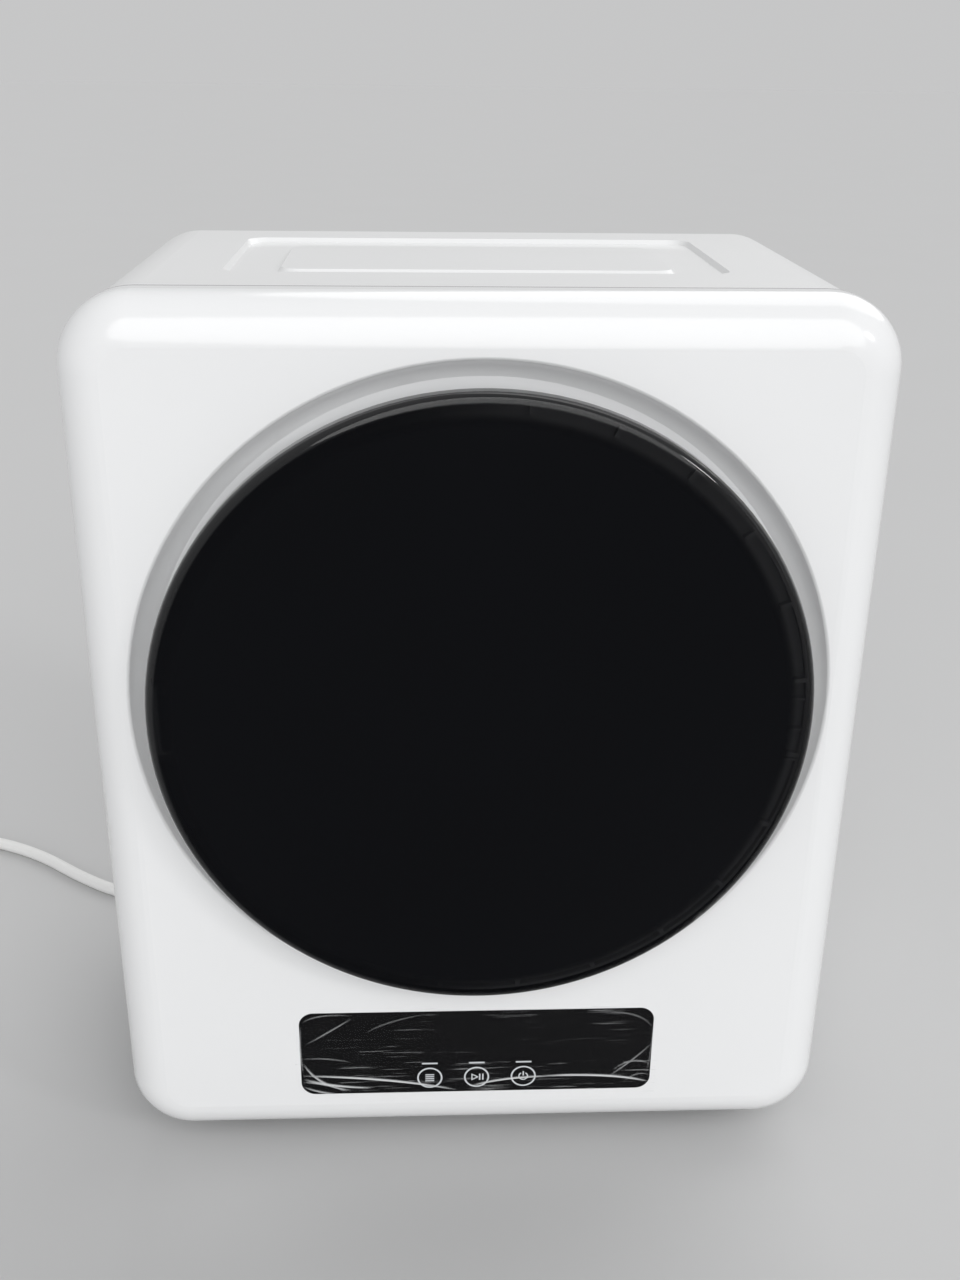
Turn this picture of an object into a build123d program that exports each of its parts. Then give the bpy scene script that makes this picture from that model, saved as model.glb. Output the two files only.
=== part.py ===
from build123d import *
import math
import os

# Compact vented tumble dryer. Millimetres, X to the right, Y into the depth, Z up.
# The origin is on the surface it stands on, in the middle of its width and depth.

# Outside of the cabinet
PANEL_WIDTH = 490.0
PANEL_HEIGHT = 591.0
PANEL_CORNER = 44.0
FOOT_GAP = 21.0            # from the floor to the front panel's lower edge
EDGE_ROLL = 28.0           # radius of the rolled edge of the front moulding
PANEL_SIDE = 12.0          # straight side of the moulding behind the roll
PANEL_WALL = 3.0
WRAP_INSET = 2.0           # the sheet cabinet stands this far inside the moulding
WRAP_DEPTH = 271.0
SHEET = 1.0                # painted cabinet sheet
PLATE = 1.2                # plain steel plates inside
DOOR_STAND = 30.0          # from the face to the crown of the door
COVER_DEPTH = 67.8         # the back cover behind the rear panel
FIT_GAP = 0.3              # between pieces of different bodies, and loose fits
SEAT_GAP = 0.05            # between nested pieces of one body
SHAFT_PLAY = 0.05          # radial clearance of a running shaft

# Stamped rectangle in the cabinet's top
STAMP_DEPTH = 3.0
STAMP_WIDTH = 320.0
STAMP_LENGTH = 166.0
STAMP_FRONT = 66.0         # from the seam to the front edge of the stamping
STAMP_STEP_SIDE = 33.0     # the raised middle stands in from the sides by this much
STAMP_STEP_FRONT = 10.0
STAMP_STEP_BACK = 40.0
STAMP_CORNER = 14.0
STAMP_SLOPE = 40.0         # degrees that the stamped walls lean

# Door, round, hinged at its left edge
DOOR_Z = 358.5
DOOR_R = 205.0
DOOR_PROUD = 14.0          # from the face to the front end of the cover's straight rim
RIM_LENGTH = 7.0
COVER_ROUND = 6.0
COVER_DOME = 10.0
CROWN_FLAT_R = 1.5         # flat disc in the middle of the dome
COVER_WALL = 3.0
DISH_GAP = 12.2            # from the door's rim to the outer edge of the dish round it
DISH_DEPTH = 12.0
DISH_LIFT = 2.5            # the dish's middle is this far above the door's
DISH_HOLLOW = 1.8          # how far its sloping wall bows in
DISH_EDGE = 2.0            # rounding of its outer edge
OPENING_INSET = 45.0       # from the door's rim to the edge of the opening
COLLAR_WALL = 4.0
COLLAR_FRONT = 9.0         # the opening's collar stands this far in front of the dish's floor
COLLAR_BACK = 10.0
RING_WIDTH = 35.0
RING_THICK = 6.0
CLIP_STEP = 15.0           # degrees between the clips round the door ring
GRIP_PITCH = 21.0
INNER_STEP = 13.0          # the inner pan ends this far inside the rim
PLUG_CLEAR = 9.0           # from the opening to the plug that enters it
PLUG_LENGTH = 34.0
PLUG_WALL = 3.0
SEAL_COVER = 8.0           # the seal reaches this far outside the opening
DOOR_SCREW_INSET = 24.0
HINGE_INSET = 8.5          # from the door's rim to the hinge's axis
HINGE_SETBACK = 5.0        # the hinge axis stands this far in front of the face
BRACKET_PLATE = 2.0
KNUCKLE_R = 3.6
HINGE_PIN_R = 2.0
EAR_INNER = 16.0
EAR_OUTER = 22.0
LEAF_SCREW_STEP = 26.5     # from the hinge's axis to the leaf's screws
LATCH_INSET = 23.0
TONGUE = (6.0, 22.0)       # thickness and height of the latch tongue
SWITCH_RISE = 35.0         # door switch above the latch
PLUNGER_R = 2.5
PLUNGER_STAND = 4.0        # the door switch's plunger stands this far out of the dish's floor

# Control panel
KEYPAD_WIDTH = 246.0
KEYPAD_HEIGHT = 70.0
KEYPAD_Z = 93.5
KEYPAD_CORNER = 10.0
KEYPAD_THICK = 1.5
KEY_PITCH = 33.0
KEY_Z = 71.0
FILM_MARGIN = 4.0
FILM_THICK = 0.3
BOX_DEPTH = 26.0           # control housing behind the panel
BOX_WALL = 2.0
BOARD_THICK = 1.6

# Drum and its drive
DRUM_R = 218.0
DRUM_SHEET = 1.2
DRUM_FRONT_GAP = 29.0      # from the seam to the drum's front
DRUM_LENGTH = 230.0
MOUTH_ROOM = 7.0           # between the bulkhead's mouth and the drum's, for the felt
NECK_LENGTH = 8.0
MOUTH_STEP = 8.0           # the bulkhead's mouth is wider than the opening by this much
BULKHEAD_COLLAR = 36.0
FELT_LENGTH = 9.0
REAR_FELT_R = (196.0, 204.0)
LIFTER_HEIGHT = 44.0
LIFTER_BASE = 56.0
LIFTER_LENGTH = 196.0
SHAFT_R = 8.0
HUB_R = 36.0
BUSH_R = 15.0
BEARING_FLANGE_R = 44.0
BEARING_FLANGE = 3.0
BEARING_LENGTH = 30.0
BELT_THICK = 3.0
BELT_WIDTH = 10.0
BELT_Y = 85.0
MOTOR_X = 112.0
MOTOR_Z = 92.0
MOTOR_R = 45.0
MOTOR_FRONT_Y = -20.0
MOTOR_LENGTH = 90.0
MOTOR_SHAFT_R = 4.0
PULLEY_R = 9.0
IDLER_X = 40.0
IDLER_Z = 97.0
IDLER_R = 13.0
PIVOT_X = -14.0
PIVOT_Z = 84.0
PIVOT_PIN_R = 3.0
ARM_THICK = 3.0
ARM_WIDTH = 15.0
ARM_SWING = 8.0            # degrees
BRACKET_THICK = 2.5
SPRING_R = 4.0
SPRING_WIRE_R = 0.8
SPRING_STEP = 32.0         # from the arm's pivot to the spring
SPRING_TURNS = 10

# Air path
WHEEL_R = 52.0
WHEEL_WIDTH = 36.0
HOUSING_R = 60.0
HOUSING_FRONT_Y = -110.8
HOUSING_BACK_Y = -57.0
DUCT_WALL = 2.0
INLET_R = 36.0
LINT_WIDTH = 156.0
LINT_HEIGHT = 104.0
LINT_THICK = 9.0
LINT_TOP_Z = 198.0
LINT_DUCT_DEPTH = 22.8
EXHAUST_X = -70.0
EXHAUST_Z = 76.0
EXHAUST_R = 41.0
PIPE_WALL = 1.5
SPIGOT_R = 50.0            # takes a 100 mm hose
SPIGOT_LENGTH = 46.0
SPIGOT_FLANGE_R = 56.0
HEATER_WIDTH = 200.0
HEATER_HEIGHT = 96.0
HEATER_Z = 452.0
HEATER_DEPTH = 52.0

# Back cover
BACK_COVER_WIDTH = 400.0
BACK_COVER_HEIGHT = 400.0
BACK_COVER_Z = 340.0
BACK_COVER_LEDGE = 14.0    # flat rim at each side, for its screws
BACK_COVER_CORNER = 30.0
BACK_COVER_WALL = 2.5
LOUVRE = (120.0, 5.0)
LOUVRE_PITCH = 12.0
LOUVRE_ROWS = 8

# Feet and fasteners
FOOT_R = 18.0
FOOT_X = 190.0
FOOT_Y = 95.0
SCREW_R = 2.0
SCREW_CLEAR = 0.1
SCREW_HEAD_R = 4.0
SCREW_HEAD = 2.4
RECESS_DEPTH = 1.2
SCREW_LENGTH = 8.0
RIM_SCREW_Z = (90.0, 250.0, 410.0, 540.0)
RIM_SCREW_INSET = 7.5
COVER_SCREW_STEP = 150.0

# Mains lead
CORD_R = 5.5
CORD_X = -150.0
RELIEF_LENGTH = 32.0
COIL_PITCH = 11.8
COIL_OUTER_R = 68.0
CLIMB_DIP = 3.0            # the turn draws in by this much while it climbs
COIL_LIFT = 1.5            # the tie under the coil lifts it off the floor
COIL_X = -545.0
COIL_Y = 196.0
COIL_TURN = 6.5 * math.pi
TAIL_LENGTH = 68.0
RELIEF_NECK_R = 8.0
PLUG_RELIEF = 24.0
PLUG_BODY = 30.0
PIN_R = 2.4
PIN_LENGTH = 19.0
PIN_PITCH = 19.0

# Stations along Y that the pieces share
FACE_Y = -(DOOR_STAND + EDGE_ROLL + PANEL_SIDE + WRAP_DEPTH + PLATE + COVER_DEPTH) / 2 + DOOR_STAND
SEAM_Y = FACE_Y + EDGE_ROLL + PANEL_SIDE
BACK_Y = SEAM_Y + WRAP_DEPTH
REAR_Y = BACK_Y + PLATE
COVER_BACK_Y = REAR_Y + COVER_DEPTH
FLOOR_Y = FACE_Y + DISH_DEPTH
RIM_FRONT_Y = FACE_Y - DOOR_PROUD
RIM_BACK_Y = RIM_FRONT_Y + RIM_LENGTH
COVER_FRONT_Y = RIM_FRONT_Y - COVER_ROUND
INNER_BACK_Y = RIM_BACK_Y + 3.0
HINGE_Y = FACE_Y - HINGE_SETBACK
DRUM_FRONT_Y = SEAM_Y + DRUM_FRONT_GAP
DRUM_BACK_Y = DRUM_FRONT_Y + DRUM_LENGTH
ARM_Y = BELT_Y + BELT_WIDTH / 2 + 2.0
CORD_Y = REAR_Y + COVER_DEPTH / 2

# Sizes round the door's axis that the pieces share
DISH_R = DOOR_R + DISH_GAP
RING_INNER_R = DOOR_R - RING_WIDTH
INNER_R = DOOR_R - INNER_STEP
DOOR_SCREW_R = DOOR_R - DOOR_SCREW_INSET
HINGE_X = HINGE_INSET - DOOR_R
LEAF_SCREW_X = HINGE_X + LEAF_SCREW_STEP
LATCH_X = DOOR_R - LATCH_INSET
OPENING_R = DOOR_R - OPENING_INSET
PLUG_R = OPENING_R - PLUG_CLEAR
SEAL_OUTER_R = OPENING_R + SEAL_COVER
BULKHEAD_MOUTH_R = OPENING_R + MOUTH_STEP
DRUM_MOUTH_R = BULKHEAD_MOUTH_R + MOUTH_ROOM

# Heights that the pieces share
PANEL_MID_Z = FOOT_GAP + PANEL_HEIGHT / 2
WRAP_WIDTH = PANEL_WIDTH - 2 * WRAP_INSET
WRAP_HEIGHT = PANEL_HEIGHT - 2 * WRAP_INSET
WRAP_CORNER = PANEL_CORNER - WRAP_INSET
WRAP_BOTTOM_Z = FOOT_GAP + WRAP_INSET
WRAP_TOP_Z = WRAP_BOTTOM_Z + WRAP_HEIGHT
SWITCH_Z = DOOR_Z + SWITCH_RISE
BACK_COVER_LOW_Z = BACK_COVER_Z - BACK_COVER_HEIGHT / 2

# A length that reaches past every piece, for cuts that go right through
THROUGH = 400.0


def front_view(y):
    """Sketch plane seen from the front: sketch x is the width, sketch y is the height."""
    return Plane(origin=(0, y, 0), x_dir=(1, 0, 0), z_dir=(0, -1, 0))


def slab(sketch, y_front, y_back):
    """A sketch drawn from the front, made as deep as the space between two stations."""
    return extrude(front_view(y_back) * sketch, amount=y_back - y_front)


def rounded(width, height, radius, x=0.0, z=0.0):
    return Pos(x, z) * RectangleRounded(width, height, radius)


def rod(radius, x, z, y_front, y_back):
    return slab(Pos(x, z) * Circle(radius), y_front, y_back)


def ring(outer_r, inner_r, x, z, y_front, y_back):
    return slab(Pos(x, z) * (Circle(outer_r) - Circle(inner_r)), y_front, y_back)


def block(x0, x1, y0, y1, z0, z1):
    middle = Pos((x0 + x1) / 2, (y0 + y1) / 2, (z0 + z1) / 2)
    return middle * Box(x1 - x0, y1 - y0, z1 - z0)


def turned(outline, x=0.0, z=DOOR_Z):
    """Turn an outline of edges, drawn as radius and station, round an axis along Y."""
    return revolve(Pos(x, 0, z) * make_face(outline), axis=Axis((x, 0, z), (0, 1, 0)))


def upright(radius, x, y, z_low, z_high):
    return Pos(x, y, (z_low + z_high) / 2) * Cylinder(radius, z_high - z_low)


def group(solids):
    return Compound(children=[s if isinstance(s, Solid) else s.solids()[0] for s in solids])


def dome_drop(reach, rise, radius):
    """How far a dome of a given reach and rise has dropped at a radius from its crown."""
    sphere_r = (reach ** 2 + rise ** 2) / (2 * rise)
    return sphere_r - math.sqrt(sphere_r ** 2 - radius ** 2)


def polar(radius, degrees):
    """A place round the door's axis."""
    turn = math.radians(degrees)
    return radius * math.cos(turn), DOOR_Z + radius * math.sin(turn)


# Cabinet

def rolled_block(inset, y_back):
    """The front moulding's outer form, or its hollow when it is inset."""
    outline = rounded(
        PANEL_WIDTH - 2 * inset, PANEL_HEIGHT - 2 * inset, PANEL_CORNER - inset, z=PANEL_MID_Z
    )
    body = slab(outline, FACE_Y + inset, y_back)
    front_edges = body.faces().sort_by(Axis.Y)[0].edges()
    return fillet(front_edges, EDGE_ROLL - inset)


def dish_form(margin):
    """The dish round the door as a solid: a flat floor and a hollow, sloping wall."""
    depth = DISH_DEPTH + margin
    edge_r = DISH_R + margin
    floor_r = DISH_R - DISH_DEPTH
    bow = DISH_HOLLOW * math.sqrt(0.5)
    middle = ((edge_r + floor_r) / 2 + bow, FACE_Y + depth / 2 + bow)
    return turned([
        Line((0, FACE_Y), (edge_r, FACE_Y)),
        ThreePointArc((edge_r, FACE_Y), middle, (floor_r, FACE_Y + depth)),
        Line((floor_r, FACE_Y + depth), (0, FACE_Y + depth)),
        Line((0, FACE_Y + depth), (0, FACE_Y)),
    ], z=DOOR_Z + DISH_LIFT)


def latch_slot(y_front, y_back):
    thick, tall = TONGUE
    return block(
        LATCH_X - thick / 2 - 2.5, LATCH_X + thick / 2 + 2.5, y_front, y_back,
        DOOR_Z - tall / 2 - 2.5, DOOR_Z + tall / 2 + 2.5,
    )


def front_panel():
    shell = rolled_block(0, SEAM_Y) - rolled_block(PANEL_WALL, SEAM_Y + 1)
    collar_out = rod(OPENING_R + COLLAR_WALL, 0, DOOR_Z, FLOOR_Y - COLLAR_FRONT, FLOOR_Y + COLLAR_BACK)
    collar_hole = rod(OPENING_R, 0, DOOR_Z, FACE_Y - 1, SEAM_Y + 1)
    panel = shell + dish_form(PANEL_WALL) - dish_form(0)
    edge = panel.edges().filter_by(GeomType.CIRCLE).filter_by(lambda e: abs(e.radius - DISH_R) < 0.01)
    panel = fillet(edge, DISH_EDGE)
    panel = panel + collar_out - collar_hole
    pocket = slab(
        rounded(KEYPAD_WIDTH + 0.2, KEYPAD_HEIGHT + 0.2, KEYPAD_CORNER + 0.1, z=KEYPAD_Z),
        FACE_Y - 1, FACE_Y + KEYPAD_THICK,
    )
    plunger_hole = rod(
        PLUNGER_R + SHAFT_PLAY * 2, LATCH_X, SWITCH_Z, FLOOR_Y - 1, FLOOR_Y + PANEL_WALL + 1
    )
    panel = panel - pocket - latch_slot(FLOOR_Y - 1, FLOOR_Y + PANEL_WALL + 1) - plunger_hole
    for x, z in hinge_screw_places():
        panel = panel - rod(SCREW_R, x, z, FLOOR_Y - 1, FLOOR_Y + PANEL_WALL + 1)
    return panel


def wrap_outline(inset):
    return rounded(
        WRAP_WIDTH - 2 * inset, WRAP_HEIGHT - 2 * inset, WRAP_CORNER - inset, z=PANEL_MID_Z
    )


def stamping(top_z, inset, middle_inset, depth):
    """The sunk rectangle of the cabinet's top, less its raised middle."""
    front = SEAM_Y + STAMP_FRONT
    middle_y = front + STAMP_LENGTH / 2
    sunk = extrude(
        Plane((0, middle_y, top_z)) * RectangleRounded(
            STAMP_WIDTH - 2 * inset, STAMP_LENGTH - 2 * inset, STAMP_CORNER
        ),
        amount=-depth, taper=STAMP_SLOPE,
    )
    length = STAMP_LENGTH - STAMP_STEP_FRONT - STAMP_STEP_BACK
    raised_y = front + STAMP_STEP_FRONT + length / 2
    raised = extrude(
        Plane((0, raised_y, top_z - depth)) * RectangleRounded(
            STAMP_WIDTH - 2 * STAMP_STEP_SIDE + 2 * middle_inset, length + 2 * middle_inset,
            STAMP_CORNER,
        ),
        amount=depth, taper=STAMP_SLOPE,
    )
    return sunk - raised


def cabinet_wrap():
    wrap = slab(wrap_outline(0) - wrap_outline(SHEET), SEAM_Y, BACK_Y)
    flange = slab(wrap_outline(0) - wrap_outline(12.0), BACK_Y - SHEET, BACK_Y)
    wrap = wrap + flange
    wrap = wrap - block(-THROUGH, THROUGH, SEAM_Y - 1, BACK_Y + 1, 0, WRAP_BOTTOM_Z + WRAP_CORNER)
    for x, z in case_screw_places()[0]:
        wrap = wrap - rod(SCREW_R, x, z, BACK_Y - 5, BACK_Y + 1)
    lean = SHEET * math.tan(math.radians(STAMP_SLOPE))
    hollow = stamping(WRAP_TOP_Z, 0, 0, STAMP_DEPTH)
    shell = stamping(WRAP_TOP_Z - SHEET, -lean / 2, lean / 2, STAMP_DEPTH)
    return wrap + shell - hollow


def base_pan():
    gap = SHEET + SEAT_GAP
    side = slab(
        wrap_outline(gap) - wrap_outline(gap + PLATE), SEAM_Y + PLATE + SEAT_GAP, BACK_Y - SHEET - SEAT_GAP
    )
    side_top = WRAP_BOTTOM_Z + WRAP_CORNER + 12
    pan = side - block(-THROUGH, THROUGH, SEAM_Y - 1, BACK_Y + 1, side_top, WRAP_TOP_Z + 1)
    for x, y in foot_places():
        pan = pan - upright(SCREW_R + 0.6, x, y, 0, 40)
    return pan


def foot_places():
    return [(sx * FOOT_X, sy * FOOT_Y) for sx in (-1, 1) for sy in (-1, 1)]


def pan_surface():
    """Height of the base pan's inner floor."""
    return WRAP_BOTTOM_Z + SHEET + SEAT_GAP + PLATE


def pan_underside():
    return WRAP_BOTTOM_Z + SHEET + SEAT_GAP


def feet():
    solids = []
    for x, y in foot_places():
        top = pan_underside() - SEAT_GAP
        foot = Pos(x, y, top / 2) * Cone(FOOT_R - 3, FOOT_R, top)
        foot = foot - upright(SCREW_R + 0.6, x, y, -1, 40) - upright(SCREW_HEAD_R + 1.2, x, y, -1, 5)
        solids.append(foot)
    return group(solids)


def foot_screws():
    solids = []
    for x, y in foot_places():
        screw = upright(SCREW_HEAD_R + 0.8, x, y, 2.0, 5) + upright(SCREW_R + 0.5, x, y, 5, pan_surface() + 4)
        nut_base = pan_surface() + SEAT_GAP
        nut = extrude(Plane((x, y, nut_base)) * RegularPolygon(4.5, 6), amount=3.2)
        solids.append(screw + nut)
    return group(solids)


def plate_outline(margin):
    return rounded(
        WRAP_WIDTH - 2 * margin, WRAP_HEIGHT - 2 * margin, WRAP_CORNER - margin, z=PANEL_MID_Z
    )


def rear_panel():
    plate = slab(plate_outline(2.5), BACK_Y, REAR_Y)
    cuts = rod(SHAFT_R + 14, 0, DOOR_Z, BACK_Y - 1, REAR_Y + 1)
    cuts = cuts + rod(EXHAUST_R + SEAT_GAP, EXHAUST_X, EXHAUST_Z, BACK_Y - 1, REAR_Y + 1)
    slot_height = HEATER_HEIGHT - 30
    for i in range(9):
        x = (i - 4) * 18.0
        cuts = cuts + slab(Pos(x, HEATER_Z) * RectangleRounded(9, slot_height, 4), BACK_Y - 1, REAR_Y + 1)
    for x, z in case_screw_places()[0] + case_screw_places()[1] + case_screw_places()[2]:
        cuts = cuts + rod(SCREW_R + SCREW_CLEAR, x, z, BACK_Y - 1, REAR_Y + 1)
    return plate - cuts


def case_screw_places():
    """Screws through the rear panel's rim, the back cover's rim and the bearing's flange."""
    rim_x = WRAP_WIDTH / 2 - RIM_SCREW_INSET
    rim = [(s * rim_x, z) for s in (-1, 1) for z in RIM_SCREW_Z]
    rim = rim + [(s * WRAP_WIDTH / 4, WRAP_TOP_Z - RIM_SCREW_INSET) for s in (-1, 1)]
    ledge = BACK_COVER_WIDTH / 2 + BACK_COVER_LEDGE / 2
    cover = [(s * ledge, BACK_COVER_Z + k * COVER_SCREW_STEP) for s in (-1, 1) for k in (-1, 0, 1)]
    bearing = [polar(BEARING_FLANGE_R - 8, a) for a in (45, 135, 225, 315)]
    return rim, cover, bearing


def case_screws():
    rim, cover, bearing = case_screw_places()
    solids = []
    for x, z in rim:
        solids.append(machine_screw(x, z, REAR_Y, SCREW_LENGTH))
    for x, z in cover:
        solids.append(machine_screw(x, z, REAR_Y + BACK_COVER_WALL, SCREW_LENGTH))
    for x, z in bearing:
        solids.append(machine_screw(x, z, REAR_Y + BEARING_FLANGE, SCREW_LENGTH))
    for x, z in hinge_screw_places():
        solids.append(machine_screw(x, z, FLOOR_Y - BRACKET_PLATE, SCREW_LENGTH, -1))
    return group(solids)


def machine_screw(x, z, seat_y, length, head_side=1):
    """A pan-head screw with its head behind a station, or in front of it where head_side is -1."""
    top = seat_y + head_side * SCREW_HEAD
    head = rod(SCREW_HEAD_R, x, z, *sorted((seat_y, top)))
    cross = Pos(x, z) * (Rectangle(4.6, 1.0) + Rectangle(1.0, 4.6))
    recess = slab(cross, *sorted((top - head_side * RECESS_DEPTH, top + head_side)))
    return head - recess + rod(SCREW_R, x, z, *sorted((seat_y, seat_y - head_side * length)))


def back_cover_outline(inset):
    return rounded(
        BACK_COVER_WIDTH - 2 * inset, BACK_COVER_HEIGHT - 2 * inset, BACK_COVER_CORNER - inset,
        z=BACK_COVER_Z,
    )


def rear_cover():
    outer = slab(back_cover_outline(0), REAR_Y, COVER_BACK_Y)
    outer = fillet(outer.faces().sort_by(Axis.Y)[-1].edges(), 12)
    wall = BACK_COVER_WALL
    inner = slab(back_cover_outline(wall), REAR_Y - 1, COVER_BACK_Y - wall)
    inner = fillet(inner.faces().sort_by(Axis.Y)[-1].edges(), 12 - wall)
    rim = slab(
        rounded(
            BACK_COVER_WIDTH + 2 * BACK_COVER_LEDGE, BACK_COVER_HEIGHT, BACK_COVER_CORNER, z=BACK_COVER_Z
        ),
        REAR_Y, REAR_Y + wall,
    )
    cover = outer + rim - inner
    width, height = LOUVRE
    for i in range(LOUVRE_ROWS):
        z = HEATER_Z + (i - (LOUVRE_ROWS - 1) / 2) * LOUVRE_PITCH
        for s in (-1, 1):
            slot = slab(Pos(s * (width / 2 + 8), z) * SlotOverall(width, height), COVER_BACK_Y - 8, COVER_BACK_Y + 1)
            cover = cover - slot
    for x, z in case_screw_places()[1]:
        cover = cover - rod(SCREW_R + SCREW_CLEAR, x, z, REAR_Y - 1, REAR_Y + wall + 1)
    arch = rod(SPIGOT_FLANGE_R + FIT_GAP, EXHAUST_X, EXHAUST_Z, REAR_Y - 1, COVER_BACK_Y + 1)
    neck_hole = upright(
        RELIEF_NECK_R + SEAT_GAP, CORD_X, CORD_Y, BACK_COVER_LOW_Z - 1, BACK_COVER_LOW_Z + wall + 1
    )
    return cover - arch - neck_hole



def front_bulkhead():
    gap = SHEET + SEAT_GAP
    plate = slab(
        rounded(WRAP_WIDTH - 2 * gap, WRAP_HEIGHT - 2 * gap, WRAP_CORNER - gap, z=PANEL_MID_Z),
        SEAM_Y, SEAM_Y + PLATE,
    )
    collar = rod(BULKHEAD_MOUTH_R, 0, DOOR_Z, SEAM_Y, SEAM_Y + BULKHEAD_COLLAR)
    hole = rod(BULKHEAD_MOUTH_R - PLATE, 0, DOOR_Z, SEAM_Y - 1, SEAM_Y + BULKHEAD_COLLAR + 1)
    slot_y = lint_filter_y()
    half = LINT_THICK / 2 + 1.5
    slot = block(
        -LINT_WIDTH / 2 - 3, LINT_WIDTH / 2 + 3, slot_y - half, slot_y + half,
        DOOR_Z - BULKHEAD_MOUTH_R - 5, DOOR_Z - BULKHEAD_MOUTH_R + 40,
    )
    return plate + collar - hole - slot


def lint_filter_y():
    """Station of the middle of the lint filter, inside its duct."""
    return SEAM_Y + PLATE + LINT_DUCT_DEPTH / 2


def drum_felt():
    back = SEAM_Y + BULKHEAD_COLLAR - 1
    return ring(DRUM_MOUTH_R - FIT_GAP, BULKHEAD_MOUTH_R, 0, DOOR_Z, back - FELT_LENGTH, back)


def rear_felt():
    inner, outer = REAR_FELT_R
    return ring(outer, inner, 0, DOOR_Z, DRUM_BACK_Y + FIT_GAP, BACK_Y)


# Control panel

def control_panel():
    return slab(rounded(KEYPAD_WIDTH, KEYPAD_HEIGHT, KEYPAD_CORNER, z=KEYPAD_Z), FACE_Y, FACE_Y + KEYPAD_THICK)


def protective_film():
    width = KEYPAD_WIDTH + 2 * FILM_MARGIN
    height = KEYPAD_HEIGHT + 2 * FILM_MARGIN
    back = FACE_Y - SEAT_GAP
    return slab(rounded(width, height, 3, z=KEYPAD_Z), back - FILM_THICK, back)


def control_housing():
    front = FACE_Y + PANEL_WALL
    back = front + BOX_DEPTH
    width = KEYPAD_WIDTH - 20
    height = KEYPAD_HEIGHT + 12
    outer = slab(rounded(width, height, 6, z=KEYPAD_Z), front, back)
    inner = slab(rounded(width - 2 * BOX_WALL, height - 2 * BOX_WALL, 4, z=KEYPAD_Z), front - 1, back - BOX_WALL)
    tray = outer - inner
    posts = [(sx * (width / 2 - 14), KEYPAD_Z + sz * (height / 2 - 12)) for sx in (-1, 1) for sz in (-1, 1)]
    for x, z in posts:
        tray = tray + rod(4, x, z, board_back_y(), back)
    tray = tray - dish_form(PANEL_WALL + FIT_GAP)
    return tray - block(60, 84, back - BOX_WALL - 1, back + 1, KEYPAD_Z - 8, KEYPAD_Z + 8)


def board_back_y():
    return FACE_Y + PANEL_WALL + BOX_DEPTH - BOX_WALL - 8


def control_board():
    back = board_back_y()
    front = back - BOARD_THICK
    width = KEYPAD_WIDTH - 32
    height = KEYPAD_HEIGHT
    board = slab(rounded(width, height, 2, z=KEYPAD_Z), front, back)
    for i in (-1, 0, 1):
        board = board + rod(5, i * KEY_PITCH, KEY_Z, FACE_Y + PANEL_WALL + SEAT_GAP, front)
    for x in (-84, -60):
        board = board + block(x - 8, x + 8, front - 10, front, KEYPAD_Z - 8, KEYPAD_Z + 12)
    board = board + block(66, 92, front - 9, front, KEYPAD_Z - 20, KEYPAD_Z + 4)
    return board + rod(6, 40, KEYPAD_Z + 16, front - 11, front)


# Door

def cover_outline(inset):
    """Half section of the domed cover from its crown to the end of its rim."""
    rim_r = DOOR_R - inset
    round_r = COVER_ROUND - inset
    dome_r = rim_r - round_r
    front = COVER_FRONT_Y + inset
    crown = front - COVER_DOME
    middle_drop = dome_drop(dome_r, COVER_DOME, dome_r / 2)
    flat = crown + dome_drop(dome_r, COVER_DOME, CROWN_FLAT_R)
    bend = round_r * math.sqrt(0.5)
    back = RIM_BACK_Y if inset == 0 else RIM_BACK_Y + 1
    return [
        Line((0, back), (0, flat)),
        Line((0, flat), (CROWN_FLAT_R, flat)),
        ThreePointArc((CROWN_FLAT_R, flat), (dome_r / 2, crown + middle_drop), (dome_r, front)),
        ThreePointArc((dome_r, front), (dome_r + bend, RIM_FRONT_Y - bend), (rim_r, RIM_FRONT_Y)),
        Line((rim_r, RIM_FRONT_Y), (rim_r, back)),
        Line((rim_r, back), (0, back)),
    ]


def door_cover():
    cover = turned(cover_outline(0)) - turned(cover_outline(COVER_WALL))
    notch = block(
        -DOOR_R - 5, -DOOR_R + 12, RIM_BACK_Y - 4, RIM_BACK_Y + 1,
        DOOR_Z - EAR_OUTER - 3, DOOR_Z + EAR_OUTER + 3,
    )
    return cover - notch


def hinge_pocket(y_front, y_back):
    """Room in the door's ring and pan for the hinge's ears."""
    return block(
        -DOOR_R - 5, HINGE_X + 21, y_front, y_back,
        DOOR_Z - EAR_OUTER - 3, DOOR_Z + EAR_OUTER + 3,
    )


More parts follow.
